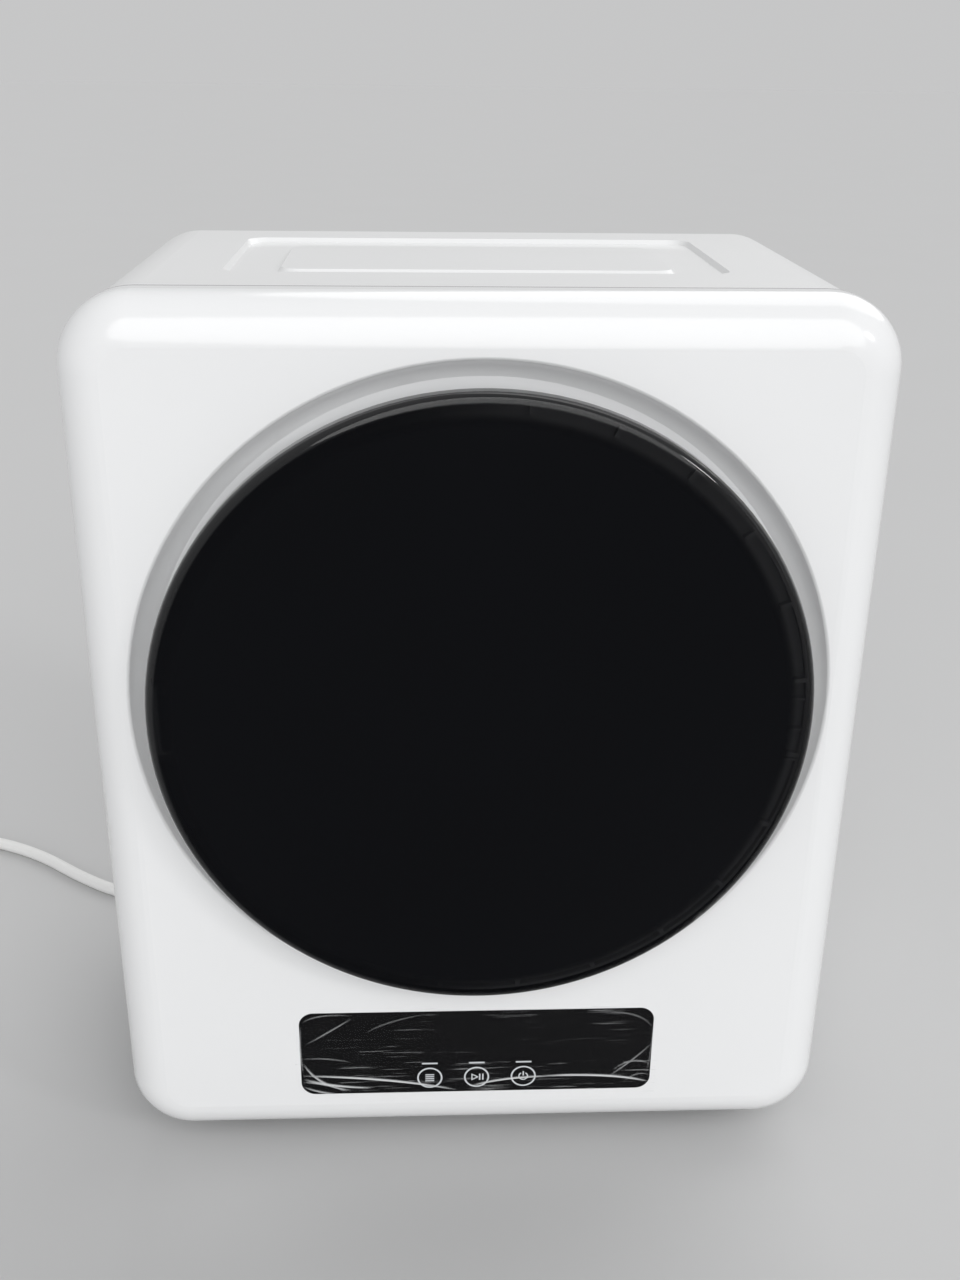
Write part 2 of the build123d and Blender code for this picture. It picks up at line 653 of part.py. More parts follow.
def door_ring():
    outer_r = DOOR_R - COVER_WALL - SEAT_GAP
    front = RIM_BACK_Y - RING_THICK
    body = ring(outer_r, RING_INNER_R, 0, DOOR_Z, RIM_BACK_Y - 2, RIM_BACK_Y)
    body = body + ring(outer_r, outer_r - 2, 0, DOOR_Z, front, RIM_BACK_Y)
    body = body + ring(RING_INNER_R + 2, RING_INNER_R, 0, DOOR_Z, front, RIM_BACK_Y)
    for k in range(int(360 / CLIP_STEP)):
        angle = CLIP_STEP * (k + 0.5)
        clip = block(outer_r - 9, outer_r - 1, front - 1, RIM_BACK_Y, -1.5, 1.5)
        body = body + Pos(0, 0, DOOR_Z) * Rot(0, -angle, 0) * clip
    for k in (-1, 0, 1):
        z = DOOR_Z - 8 + k * GRIP_PITCH
        body = body + block(outer_r - 18, outer_r - 3, front - 1, RIM_BACK_Y, z - 0.9, z + 0.9)
    for x, z in door_screw_places():
        body = body + rod(4, x, z, front, RIM_BACK_Y) - rod(SCREW_R, x, z, front - 1, RIM_BACK_Y + 1)
    body = body - hinge_pocket(RIM_BACK_Y - RING_THICK - 3, RIM_BACK_Y + 1)
    return body - leaf_plate(SEAT_GAP)



def door_screw_places():
    """Screws through the door's inner pan: seven into the ring and two into the hinge leaf."""
    angles = [20 + k * 40 for k in range(9)]
    places = [polar(DOOR_SCREW_R, angle) for angle in angles if not 150 < angle < 210]
    return places + [(LEAF_SCREW_X, DOOR_Z + s * 28.5) for s in (-1, 1)]


def door_inner():
    pan = ring(INNER_R, PLUG_R - PLUG_WALL, 0, DOOR_Z, RIM_BACK_Y, INNER_BACK_Y)
    plug_end = INNER_BACK_Y + PLUG_LENGTH
    pan = pan + ring(PLUG_R, PLUG_R - PLUG_WALL, 0, DOOR_Z, INNER_BACK_Y, plug_end)
    pan = pan + ring(PLUG_R, PLUG_R - 11, 0, DOOR_Z, plug_end - 2, plug_end)
    for x, z in door_screw_places():
        pan = pan - rod(SCREW_R, x, z, RIM_BACK_Y - 1, INNER_BACK_Y + 1)
    return pan - hinge_pocket(RIM_BACK_Y - 1, INNER_BACK_Y + 1)


def door_window():
    """Clear bowl that closes the door's opening, crowned towards the drum."""
    rim_r = PLUG_R - PLUG_WALL - SEAT_GAP
    seat = INNER_BACK_Y + PLUG_LENGTH - 2 - SEAT_GAP
    thick = 3.0
    rise = 4.0
    crown = seat + rise
    dome_r = PLUG_R - 13
    half_way = crown - dome_drop(dome_r, rise, dome_r / 2)
    return turned([
        Line((0, crown - thick), (0, crown)),
        ThreePointArc((0, crown), (dome_r / 2, half_way), (dome_r, seat)),
        Line((dome_r, seat), (rim_r, seat)),
        Line((rim_r, seat), (rim_r, seat - thick)),
        Line((rim_r, seat - thick), (dome_r, seat - thick)),
        ThreePointArc((dome_r, seat - thick), (dome_r / 2, half_way - thick), (0, crown - thick)),
    ])


def door_seal():
    base = ring(SEAL_OUTER_R, PLUG_R + SEAT_GAP, 0, DOOR_Z, INNER_BACK_Y, INNER_BACK_Y + 3)
    lip_back = FLOOR_Y - COLLAR_FRONT - FIT_GAP
    middle = OPENING_R + COLLAR_WALL / 2
    lip = ring(middle + 4, middle - 4, 0, DOOR_Z, INNER_BACK_Y + 3, lip_back)
    return base + lip


def hinge_bracket():
    floor_front = FLOOR_Y - BRACKET_PLATE
    base = block(HINGE_X - 3.5, HINGE_X + 24, floor_front, FLOOR_Y, DOOR_Z - 40, DOOR_Z + 40)
    ears = None
    for s in (-1, 1):
        low, high = sorted((s * EAR_INNER, s * EAR_OUTER))
        web = extrude(
            Plane((0, 0, DOOR_Z + low)) * make_face(Polyline(
                (HINGE_X - 1.4, HINGE_Y + 3.2), (HINGE_X + 2.2, HINGE_Y - 2.6),
                (HINGE_X + 13, floor_front + 0.5), (HINGE_X + 2, floor_front + 0.5), close=True,
            )),
            amount=high - low,
        )
        ear = web + upright(KNUCKLE_R, HINGE_X, HINGE_Y, DOOR_Z + low, DOOR_Z + high)
        ears = ear if ears is None else ears + ear
    bore = upright(HINGE_PIN_R + SHAFT_PLAY, HINGE_X, HINGE_Y, DOOR_Z - 60, DOOR_Z + 60)
    bracket = base + ears - bore
    for x, z in hinge_screw_places():
        bracket = bracket - rod(SCREW_R, x, z, floor_front - 1, FLOOR_Y + 1)
    return bracket


def hinge_screw_places():
    return [(HINGE_X + 8, DOOR_Z + s * 33) for s in (-1, 1)]


def leaf_plate(gap):
    """The part of the leaf that is clamped between the door's ring and its inner pan."""
    return block(
        HINGE_X + 21 - gap, HINGE_X + 42 + gap, RIM_BACK_Y - 2 - gap, RIM_BACK_Y,
        DOOR_Z - 33 - gap, DOOR_Z + 33 + gap,
    )


def hinge_leaf():
    half = EAR_INNER - FIT_GAP
    arm = block(HINGE_X, HINGE_X + 23, RIM_BACK_Y - 2, RIM_BACK_Y, DOOR_Z - half, DOOR_Z + half)
    knuckle = upright(KNUCKLE_R, HINGE_X, HINGE_Y, DOOR_Z - half, DOOR_Z + half)
    leaf = arm + leaf_plate(0) + knuckle
    leaf = leaf - upright(HINGE_PIN_R, HINGE_X, HINGE_Y, DOOR_Z - 60, DOOR_Z + 60)
    for x, z in door_screw_places()[-2:]:
        leaf = leaf - rod(SCREW_R, x, z, RIM_BACK_Y - 5, RIM_BACK_Y + 1)
    return leaf


def hinge_pin():
    reach = EAR_OUTER + 1.5
    return upright(HINGE_PIN_R, HINGE_X, HINGE_Y, DOOR_Z - reach, DOOR_Z + reach)


def latch_hook():
    """Tongue that enters the catch, with the striker of the door switch on the same plate."""
    thick, tall = TONGUE
    plate = block(LATCH_X - 8, LATCH_X + 8, INNER_BACK_Y, INNER_BACK_Y + 2, DOOR_Z - 20, SWITCH_Z + 7)
    striker = rod(5, LATCH_X, SWITCH_Z, INNER_BACK_Y, FLOOR_Y - PLUNGER_STAND - FIT_GAP)
    end = FLOOR_Y + PANEL_WALL + 12
    tongue = block(
        LATCH_X - thick / 2, LATCH_X + thick / 2, INNER_BACK_Y + 2, end, DOOR_Z - tall / 2, DOOR_Z + tall / 2
    )
    eye = block(LATCH_X - 5, LATCH_X + 5, end - 9, end - 4, DOOR_Z - tall / 2 + 5, DOOR_Z + tall / 2 - 5)
    nose = tongue.faces().sort_by(Axis.Y)[-1].edges().filter_by(Axis.Z)
    return plate + striker + fillet(nose, 2.4) - eye


def latch_catch():
    thick, tall = TONGUE
    front = FLOOR_Y + PANEL_WALL
    back = SEAM_Y
    shell = block(LATCH_X - 11, LATCH_X + 11, front, back, DOOR_Z - tall / 2 - 8, DOOR_Z + tall / 2 + 8)
    return shell - latch_slot(front - 1, back - 3)


def door_switch():
    front = FLOOR_Y + PANEL_WALL
    body = block(LATCH_X - 9, LATCH_X + 9, front, SEAM_Y, SWITCH_Z - 12, SWITCH_Z + 12)
    return body - rod(PLUNGER_R + 2 * SHAFT_PLAY, LATCH_X, SWITCH_Z, front - 1, front + 16)


def switch_plunger():
    pin = rod(PLUNGER_R, LATCH_X, SWITCH_Z, FLOOR_Y - PLUNGER_STAND, FLOOR_Y + PANEL_WALL + 10)
    return fillet(pin.edges().sort_by(Axis.Y)[0], 1.2)


def door_screws():
    solids = []
    for x, z in door_screw_places():
        length = 8 if x != LEAF_SCREW_X else 5
        solids.append(machine_screw(x, z, INNER_BACK_Y, length))
    return group(solids)


# Drum

def drum_shell():
    wall = ring(DRUM_R, DRUM_R - DRUM_SHEET, 0, DOOR_Z, DRUM_FRONT_Y, DRUM_BACK_Y)
    front = ring(DRUM_R, DRUM_MOUTH_R, 0, DOOR_Z, DRUM_FRONT_Y, DRUM_FRONT_Y + DRUM_SHEET)
    neck = ring(DRUM_MOUTH_R + DRUM_SHEET, DRUM_MOUTH_R, 0, DOOR_Z, DRUM_FRONT_Y, DRUM_FRONT_Y + NECK_LENGTH)
    return wall + front + neck


def drum_back():
    outer_r = DRUM_R - DRUM_SHEET
    plate = rod(outer_r, 0, DOOR_Z, DRUM_BACK_Y - DRUM_SHEET, DRUM_BACK_Y)
    for row, radius in enumerate((104.0, 128.0, 152.0)):
        count = 18
        for k in range(count):
            x, z = polar(radius, (k + 0.5 * (row % 2)) * 360 / count)
            plate = plate - rod(5, x, z, DRUM_BACK_Y - 5, DRUM_BACK_Y + 1)
    return plate


def lifter():
    """One hollow-backed paddle at the bottom of the drum."""
    inner_r = DRUM_R - DRUM_SHEET
    foot = -inner_r - 6
    tip = -inner_r + LIFTER_HEIGHT
    half = LIFTER_BASE / 2
    outline = make_face(Polyline(
        (-half, foot), (half, foot), (half, -inner_r + 8), (7, tip - 3), (0, tip), (-7, tip - 3),
        (-half, -inner_r + 8), close=True,
    ))
    y_front = DRUM_FRONT_Y + DRUM_SHEET + 14
    body = slab(Pos(0, DOOR_Z) * outline, y_front, y_front + LIFTER_LENGTH)
    return body & rod(inner_r, 0, DOOR_Z, DRUM_FRONT_Y, DRUM_BACK_Y)


def drum_lifters():
    first = lifter()
    axis = Axis((0, 0, DOOR_Z), (0, 1, 0))
    return group([first.rotate(axis, 60 + k * 120) for k in range(3)])


def drum_shaft():
    flange = rod(HUB_R, 0, DOOR_Z, DRUM_BACK_Y, DRUM_BACK_Y + 3)
    stub = rod(SHAFT_R, 0, DOOR_Z, DRUM_BACK_Y, bearing_back_y() + 8)
    groove_y = bearing_back_y() + 3
    clip = ring(SHAFT_R + 4, SHAFT_R, 0, DOOR_Z, groove_y, groove_y + 1.5)
    return flange + stub + clip


def bearing_back_y():
    return REAR_Y + BEARING_LENGTH


def bearing_housing():
    flange = rod(BEARING_FLANGE_R, 0, DOOR_Z, REAR_Y, REAR_Y + BEARING_FLANGE)
    hub = rod(BUSH_R + 5, 0, DOOR_Z, REAR_Y, bearing_back_y())
    housing = flange + hub
    for k in range(4):
        rib = block(-1.5, 1.5, REAR_Y, REAR_Y + 18, 0, BEARING_FLANGE_R - 2)
        housing = housing + Pos(0, 0, DOOR_Z) * Rot(0, k * 90, 0) * rib
    housing = housing - rod(BUSH_R, 0, DOOR_Z, REAR_Y - 1, bearing_back_y() + 1)
    for x, z in case_screw_places()[2]:
        housing = housing - rod(SCREW_R + SCREW_CLEAR, x, z, REAR_Y - 1, REAR_Y + BEARING_FLANGE + 1)
    return housing


def bearing_bush():
    return ring(BUSH_R, SHAFT_R + SHAFT_PLAY, 0, DOOR_Z, REAR_Y + 1, bearing_back_y())


# Belt drive. A belt's path is tangents between circles; a circle that it passes on the other
# side has a negative radius.

def belt_tangent(start, end):
    """Tangent points of a line that leaves one signed circle and meets the next."""
    (ax, az, ar), (bx, bz, br) = start, end
    span = math.hypot(bx - ax, bz - az)
    heading = math.atan2(bz - az, bx - ax) - math.asin((br - ar) / span)
    nx, nz = -math.sin(heading), math.cos(heading)
    return (ax - nx * ar, az - nz * ar), (bx - nx * br, bz - nz * br)


def belt_loop(offset):
    """Closed outline of the belt, offset from its middle line."""
    half = BELT_THICK / 2 + FIT_GAP
    circles = [
        (0, DOOR_Z, DRUM_R + half + offset),
        (IDLER_X, IDLER_Z, -(IDLER_R + half) + offset),
        (MOTOR_X, MOTOR_Z, PULLEY_R + half + offset),
    ]
    spans = [belt_tangent(circles[i], circles[(i + 1) % 3]) for i in range(3)]
    edges = []
    for i, (leave, arrive) in enumerate(spans):
        edges.append(Line(leave, arrive))
        x, z, radius = circles[(i + 1) % 3]
        next_leave = spans[(i + 1) % 3][0]
        a0 = math.atan2(arrive[1] - z, arrive[0] - x)
        a1 = math.atan2(next_leave[1] - z, next_leave[0] - x)
        turn = (a1 - a0) % (2 * math.pi) if radius > 0 else -((a0 - a1) % (2 * math.pi))
        mid = a0 + turn / 2
        size = abs(radius)
        edges.append(ThreePointArc(arrive, (x + size * math.cos(mid), z + size * math.sin(mid)), next_leave))
    return make_face(edges)


def drive_belt():
    outline = belt_loop(BELT_THICK / 2) - belt_loop(-BELT_THICK / 2)
    return slab(outline, BELT_Y - BELT_WIDTH / 2, BELT_Y + BELT_WIDTH / 2)


def motor_body():
    back = MOTOR_FRONT_Y + MOTOR_LENGTH
    body = rod(MOTOR_R, MOTOR_X, MOTOR_Z, MOTOR_FRONT_Y + 8, back - 8)
    body = body + rod(MOTOR_R - 9, MOTOR_X, MOTOR_Z, MOTOR_FRONT_Y, back)
    body = body + block(
        MOTOR_X - 16, MOTOR_X + 16, MOTOR_FRONT_Y + 24, MOTOR_FRONT_Y + 62,
        MOTOR_Z + MOTOR_R - 5, MOTOR_Z + MOTOR_R + 9,
    )
    return body - rod(MOTOR_SHAFT_R + SHAFT_PLAY, MOTOR_X, MOTOR_Z, MOTOR_FRONT_Y - 1, back + 1)


def motor_bracket():
    """Pressed bracket that cradles the motor and carries the idler arm's pivot."""
    low = pan_surface()
    front = MOTOR_FRONT_Y + 12
    back = MOTOR_FRONT_Y + MOTOR_LENGTH - 12
    bracket = block(PIVOT_X - 10, MOTOR_X + MOTOR_R + 12, front - 3, ARM_Y + 13, low, low + BRACKET_THICK)
    cradle = MOTOR_R + SEAT_GAP
    for y in (front, back - 3):
        wall = block(MOTOR_X - MOTOR_R - 4, MOTOR_X + MOTOR_R + 4, y, y + 3, low, MOTOR_Z + 6)
        bracket = bracket + (wall - rod(cradle, MOTOR_X, MOTOR_Z, y - 1, y + 4))
        strap = ring(cradle + 2, cradle, MOTOR_X, MOTOR_Z, y - 1, y + 4)
        bracket = bracket + (strap - block(0, THROUGH, y - 3, y + 9, 0, MOTOR_Z + 5))
    post_front = ARM_Y + ARM_THICK + 1
    post = block(PIVOT_X - 9, PIVOT_X + 9, post_front, post_front + 3, low, PIVOT_Z + 9)
    return bracket + post - rod(PIVOT_PIN_R, PIVOT_X, PIVOT_Z, post_front - 1, post_front + 5)


def idler_arm():
    """Sprung lever with the idler's axle; it turns on a pin in the bracket."""
    front, back = ARM_Y, ARM_Y + ARM_THICK
    length = math.hypot(IDLER_X - PIVOT_X, IDLER_Z - PIVOT_Z)
    lean = math.degrees(math.atan2(IDLER_Z - PIVOT_Z, IDLER_X - PIVOT_X))
    bar = Pos((PIVOT_X + IDLER_X) / 2, (PIVOT_Z + IDLER_Z) / 2) * Rot(0, 0, lean) * SlotCenterToCenter(length, ARM_WIDTH)
    arm = slab(bar, front, back)
    arm = arm - rod(PIVOT_PIN_R + SHAFT_PLAY, PIVOT_X, PIVOT_Z, front - 1, back + 1)
    axle = rod(PIVOT_PIN_R, IDLER_X, IDLER_Z, BELT_Y - BELT_WIDTH / 2 - 3, front)
    head = rod(PIVOT_PIN_R + 2.5, IDLER_X, IDLER_Z, BELT_Y - BELT_WIDTH / 2 - 5, BELT_Y - BELT_WIDTH / 2 - 3)
    return arm + axle + head


def idler_pin():
    post_back = ARM_Y + ARM_THICK + 4
    pin = rod(PIVOT_PIN_R, PIVOT_X, PIVOT_Z, ARM_Y - 1.5, post_back)
    return pin + rod(PIVOT_PIN_R + 2, PIVOT_X, PIVOT_Z, ARM_Y - 3, ARM_Y - FIT_GAP)


def idler_pulley():
    front = BELT_Y - BELT_WIDTH / 2 - 2
    back = BELT_Y + BELT_WIDTH / 2 + 1
    wheel = rod(IDLER_R, IDLER_X, IDLER_Z, front, back)
    return wheel - rod(PIVOT_PIN_R + SHAFT_PLAY, IDLER_X, IDLER_Z, front - 1, back + 1)


def spring_height():
    """Clear height between the bracket and the idler arm when the arm has swung right down."""
    lean = math.atan2(IDLER_Z - PIVOT_Z, IDLER_X - PIVOT_X) - math.radians(ARM_SWING)
    near = SPRING_STEP - SPRING_R - SPRING_WIRE_R
    under_arm = PIVOT_Z + near * math.tan(lean) - ARM_WIDTH / 2 / math.cos(lean)
    return under_arm - pan_surface() - BRACKET_THICK - 2 * SPRING_WIRE_R - FIT_GAP


def spring_point(turn):
    """Place on the idler spring after so many radians."""
    x, y = PIVOT_X + SPRING_STEP, ARM_Y + ARM_THICK / 2
    low = pan_surface() + BRACKET_THICK + SPRING_WIRE_R
    rise = spring_height() * turn / (2 * math.pi * SPRING_TURNS)
    return Vector(x + SPRING_R * math.cos(turn), y + SPRING_R * math.sin(turn), low + rise)


def idler_spring():
    """Compression spring that stands on the bracket under the idler arm."""
    quarter = math.pi / 2
    turns = [k * quarter for k in range(4 * SPRING_TURNS + 1)]
    places = [spring_point(turn) for turn in turns]
    ways = [(spring_point(turn + 0.02) - spring_point(turn - 0.02)).normalized() for turn in turns]
    return round_tube(Wire(arc_chain(places, ways)), SPRING_WIRE_R)


def motor_shaft():
    return rod(MOTOR_SHAFT_R, MOTOR_X, MOTOR_Z, wheel_front_y() - 4, BELT_Y + BELT_WIDTH / 2 + 5)


def motor_pulley():
    front = BELT_Y - BELT_WIDTH / 2 - 2
    back = BELT_Y + BELT_WIDTH / 2 + 2
    wheel = rod(PULLEY_R, MOTOR_X, MOTOR_Z, front, back)
    wheel = wheel + rod(PULLEY_R + 4, MOTOR_X, MOTOR_Z, front - 1.5, front)
    return wheel - rod(MOTOR_SHAFT_R, MOTOR_X, MOTOR_Z, front - 3, back + 1)


# Air path

def wheel_front_y():
    return (HOUSING_FRONT_Y + HOUSING_BACK_Y) / 2 - WHEEL_WIDTH / 2


def blower_wheel():
    """Squirrel-cage wheel: a hub disc, a ring and blades between them."""
    front = wheel_front_y()
    back = front + WHEEL_WIDTH
    wheel = rod(WHEEL_R, MOTOR_X, MOTOR_Z, back - 2, back)
    wheel = wheel + rod(10, MOTOR_X, MOTOR_Z, back - 16, back)
    wheel = wheel + ring(WHEEL_R, WHEEL_R - 8, MOTOR_X, MOTOR_Z, front, front + 2)
    count = 24
    blade = slab(Pos(WHEEL_R - 5.2, 0) * Rot(0, 0, 35) * Rectangle(9, 1.2), front + 1, back - 1)
    for k in range(count):
        wheel = wheel + Pos(MOTOR_X, 0, MOTOR_Z) * Rot(0, k * 360 / count, 0) * blade
    return wheel - rod(MOTOR_SHAFT_R, MOTOR_X, MOTOR_Z, front - 5, back + 5)


def blower_housing():
    """Scroll round the blower wheel, with a spout that turns back to the exhaust pipe."""
    wall = DUCT_WALL
    front, back = HOUSING_FRONT_Y, HOUSING_BACK_Y
    spout_low = MOTOR_Z - HOUSING_R
    spout_high = spout_low + 44
    left = EXHAUST_X - EXHAUST_R - 7
    right = EXHAUST_X + EXHAUST_R + 7
    top = EXHAUST_Z + EXHAUST_R + 6
    outer = rod(HOUSING_R + wall, MOTOR_X, MOTOR_Z, front, back)
    outer = outer + block(right - 4, MOTOR_X, front, back, spout_low - wall, spout_high + wall)
    outer = outer + block(left, right, front, back, spout_low - wall, top)
    inner = rod(HOUSING_R, MOTOR_X, MOTOR_Z, front + wall, back - wall)
    inner = inner + block(right - 4, MOTOR_X, front + wall, back - wall, spout_low, spout_high)
    inner = inner + block(left + wall, right - wall, front + wall, back - wall, spout_low, top - wall)
    housing = outer - inner
    housing = housing - rod(INLET_R, MOTOR_X, MOTOR_Z, front - 1, front + wall + 1)
    housing = housing - rod(MOTOR_SHAFT_R + 4, MOTOR_X, MOTOR_Z, back - wall - 1, back + 1)
    return housing - rod(EXHAUST_R - PIPE_WALL, EXHAUST_X, EXHAUST_Z, back - wall - 1, back + 1)


def exhaust_pipe():
    return ring(EXHAUST_R, EXHAUST_R - PIPE_WALL, EXHAUST_X, EXHAUST_Z, HOUSING_BACK_Y, REAR_Y)


def exhaust_spigot():
    flange_back = REAR_Y + 2.5
    flange = rod(SPIGOT_FLANGE_R, EXHAUST_X, EXHAUST_Z, REAR_Y, flange_back)
    tube = ring(SPIGOT_R, SPIGOT_R - 2, EXHAUST_X, EXHAUST_Z, REAR_Y, REAR_Y + SPIGOT_LENGTH)
    return flange + tube - rod(EXHAUST_R - PIPE_WALL, EXHAUST_X, EXHAUST_Z, REAR_Y - 1, flange_back + 1)


def lint_duct_outline(inset):
    """Funnel seen from the front: wide at the filter's slot, narrow at the blower's inlet."""
    half = LINT_WIDTH / 2 + 5 + DUCT_WALL - inset
    low = MOTOR_Z - INLET_R - 6 + inset
    right = MOTOR_X + INLET_R + 6 - inset
    return make_face(Polyline(
        (-half, 230), (half, 230), (half, 152 - inset), (right - 8, MOTOR_Z + INLET_R + 4 - inset),
        (right, MOTOR_Z + INLET_R - 8), (right, low + 8), (right - 8, low), (50, low), (-half, 88 + inset),
        close=True,
    ))


def lint_duct():
    front = SEAM_Y + PLATE
    back = front + LINT_DUCT_DEPTH
    duct = slab(lint_duct_outline(0), front, back)
    duct = duct - slab(lint_duct_outline(DUCT_WALL), front + DUCT_WALL, back - DUCT_WALL)
    clear = LINT_THICK / 2 + FIT_GAP
    outer_x = LINT_WIDTH / 2 + 5
    for x0, x1 in ((-outer_x, -outer_x + 10), (outer_x - 10, outer_x)):
        rail = block(x0, x1, front + 1, back - 1, 108, LINT_TOP_Z - 8)
        groove = block(-THROUGH, THROUGH, lint_filter_y() - clear, lint_filter_y() + clear, 0, THROUGH)
        duct = duct + (rail - groove)
    duct = duct - rod(BULKHEAD_MOUTH_R + SEAT_GAP, 0, DOOR_Z, front - 1, back + 1)
    neck = ring(INLET_R + DUCT_WALL, INLET_R, MOTOR_X, MOTOR_Z, back, HOUSING_FRONT_Y)
    return duct + neck - rod(INLET_R, MOTOR_X, MOTOR_Z, back - DUCT_WALL - 1, HOUSING_FRONT_Y + 1)


def lint_frame():
    y = lint_filter_y()
    front, back = y - LINT_THICK / 2, y + LINT_THICK / 2
    low = LINT_TOP_Z - LINT_HEIGHT
    half = LINT_WIDTH / 2
    frame = block(-half, half, front, back, low, LINT_TOP_Z)
    bar = 5.0
    bay = (LINT_WIDTH - 4 * bar) / 3
    for k in range(3):
        x = -half + bar + k * (bay + bar)
        frame = frame - block(x, x + bay, front - 1, back + 1, low + bar, LINT_TOP_Z - 16)
    grip = slab(Pos(0, LINT_TOP_Z - 3) * SlotOverall(46, 12), front - 1, front + 3)
    return frame - grip


def lint_mesh():
    """Fine mesh in the filter's three bays."""
    y = lint_filter_y()
    low = LINT_TOP_Z - LINT_HEIGHT
    bar = 5.0
    bay = (LINT_WIDTH - 4 * bar) / 3
    half = LINT_WIDTH / 2
    solids = []
    for k in range(3):
        x = -half + bar + k * (bay + bar)
        solids.append(block(x, x + bay, y - 0.4, y + 0.4, low + bar, LINT_TOP_Z - 16))
    return group(solids)


def heater_duct():
    half = HEATER_WIDTH / 2
    low, high = HEATER_Z - HEATER_HEIGHT / 2, HEATER_Z + HEATER_HEIGHT / 2
    back = REAR_Y + HEATER_DEPTH
    outer = block(-half, half, REAR_Y, back, low, high)
    inner = block(-half + SHEET, half - SHEET, REAR_Y - 1, back + 1, low + SHEET, high - SHEET)
    return outer - inner


def heater_element():
    """Ceramic heating block: a frame with heating rods and thin fins."""
    half = HEATER_WIDTH / 2 - SHEET - SEAT_GAP
    tall = HEATER_HEIGHT / 2 - SHEET - SEAT_GAP
    front, back = REAR_Y + 14, REAR_Y + 32
    frame = block(-half, half, front, back, HEATER_Z - tall, HEATER_Z + tall)
    window = block(-half + 7, half - 7, front - 1, back + 1, HEATER_Z - tall + 7, HEATER_Z + tall - 7)
    element = frame - window
    for z in (HEATER_Z - 20, HEATER_Z, HEATER_Z + 20):
        element = element + block(-half, half, front + 3, back - 3, z - 1.6, z + 1.6)
    count = 22
    for k in range(count):
        x = -half + 7 + (k + 1) * (2 * half - 14) / (count + 1)
        element = element + block(x - 0.4, x + 0.4, front + 2, back - 2, HEATER_Z - tall + 5, HEATER_Z + tall - 5)
    return element


def thermostats():
    """Two thermal cut-outs on the heater duct's right side."""
    x = HEATER_WIDTH / 2
    solids = []
    for z in (HEATER_Z - 22, HEATER_Z + 22):
        cap = Pos(x + 3, REAR_Y + 24, z) * Rot(0, 90, 0) * Cylinder(8, 6)
        body = Pos(x + 9, REAR_Y + 24, z) * Rot(0, 90, 0) * Cylinder(6.5, 6)
        tabs = block(x + 12, x + 19, REAR_Y + 19, REAR_Y + 21, z - 2, z + 2)
        tabs = tabs + block(x + 12, x + 19, REAR_Y + 27, REAR_Y + 29, z - 2, z + 2)
        solids.append(cap + body + tabs)
    return group(solids)


# Mains lead

def relief_low_z():
    return BACK_COVER_LOW_Z - RELIEF_LENGTH


def strain_relief():
    bottom = BACK_COVER_LOW_Z
    low = relief_low_z()
    cone = Pos(CORD_X, CORD_Y, (bottom + low) / 2) * Cone(CORD_R + 1, RELIEF_NECK_R + 2.5, RELIEF_LENGTH)
    neck = upright(RELIEF_NECK_R, CORD_X, CORD_Y, bottom, bottom + BACK_COVER_WALL)
    head = upright(RELIEF_NECK_R + 3, CORD_X, CORD_Y, bottom + BACK_COVER_WALL, bottom + BACK_COVER_WALL + 4)
    return cone + neck + head


def terminal_block():
    low = BACK_COVER_LOW_Z + BACK_COVER_WALL + 4
    body = block(CORD_X - 17, CORD_X + 17, REAR_Y, CORD_Y + 9, low, low + 26)
    for k in (-1, 0, 1):
        well = Pos(CORD_X + k * 10, (REAR_Y + CORD_Y) / 2, low + 26) * Cylinder(2.6, 12)
        body = body - well
    return body


def cord_route():
    """Points of the lead from the strain relief, down to the floor and away to the coil."""
    z = CORD_R
    return [
        (CORD_X, CORD_Y, relief_low_z()),
        (CORD_X, CORD_Y, 66), (-172, CORD_Y, 28), (-210, 168, z), (-250, 158, z), (-288, 152, z),
        (-326, 165, z), (-366, 192, z), (-408, 228, z), (-456, 254, z),
        (-504, COIL_Y + COIL_OUTER_R, coil_z()), coil_start(),
    ]


def coil_z():
    return CORD_R + COIL_LIFT


def coil_start():
    return COIL_X + 2 * CORD_R, COIL_Y + COIL_OUTER_R, coil_z()


def tangent_radii(points):
    """As large an arc at each corner as its two runs allow."""
    radii = []
    for a, b, c in zip(points, points[1:], points[2:]):
        first, second = Vector(b) - Vector(a), Vector(c) - Vector(b)
        half_turn = math.radians(first.get_angle(second)) / 2
        radii.append(0.45 * min(first.length, second.length) / math.tan(half_turn))
    return radii


def round_tube(path, radius):
    section = Plane(origin=path @ 0, z_dir=path % 0) * Circle(radius)
    return sweep(section, path=path)


def power_cord():
    points = cord_route()
    radii = tangent_radii(points)
    path = FilletPolyline(*points, radius=radii)
    cord = round_tube(path, CORD_R)
    print("cord radii", [round(r, 1) for r in radii])
    expected = math.pi * CORD_R ** 2 * path.length
    print("cord length", round(path.length, 1), "volume share", round(cord.volume / expected, 4))
    return cord


def coil_point(turn):
    """Place on the coil after so many radians: in on the lower layer, up, and out again."""
    inward = 3 * math.pi
    climb_end = inward + math.pi
    step = COIL_PITCH / (2 * math.pi)
    if turn < inward:
        radius, rise = COIL_OUTER_R - step * turn, 0.0
    elif turn < climb_end:
        share = (turn - inward) / math.pi
        radius = COIL_OUTER_R - step * inward - CLIMB_DIP * math.sin(math.pi * share) ** 2
        rise = COIL_PITCH * (3 * share ** 2 - 2 * share ** 3)
    else:
        radius, rise = COIL_OUTER_R - step * inward + step * (turn - climb_end), COIL_PITCH
    angle = math.pi / 2 + turn
    return Vector(COIL_X + radius * math.cos(angle), COIL_Y + radius * math.sin(angle), coil_z() + rise)


def coil_heading(turn):
    small = 0.02
    return (coil_point(turn + small) - coil_point(turn - small)).normalized()


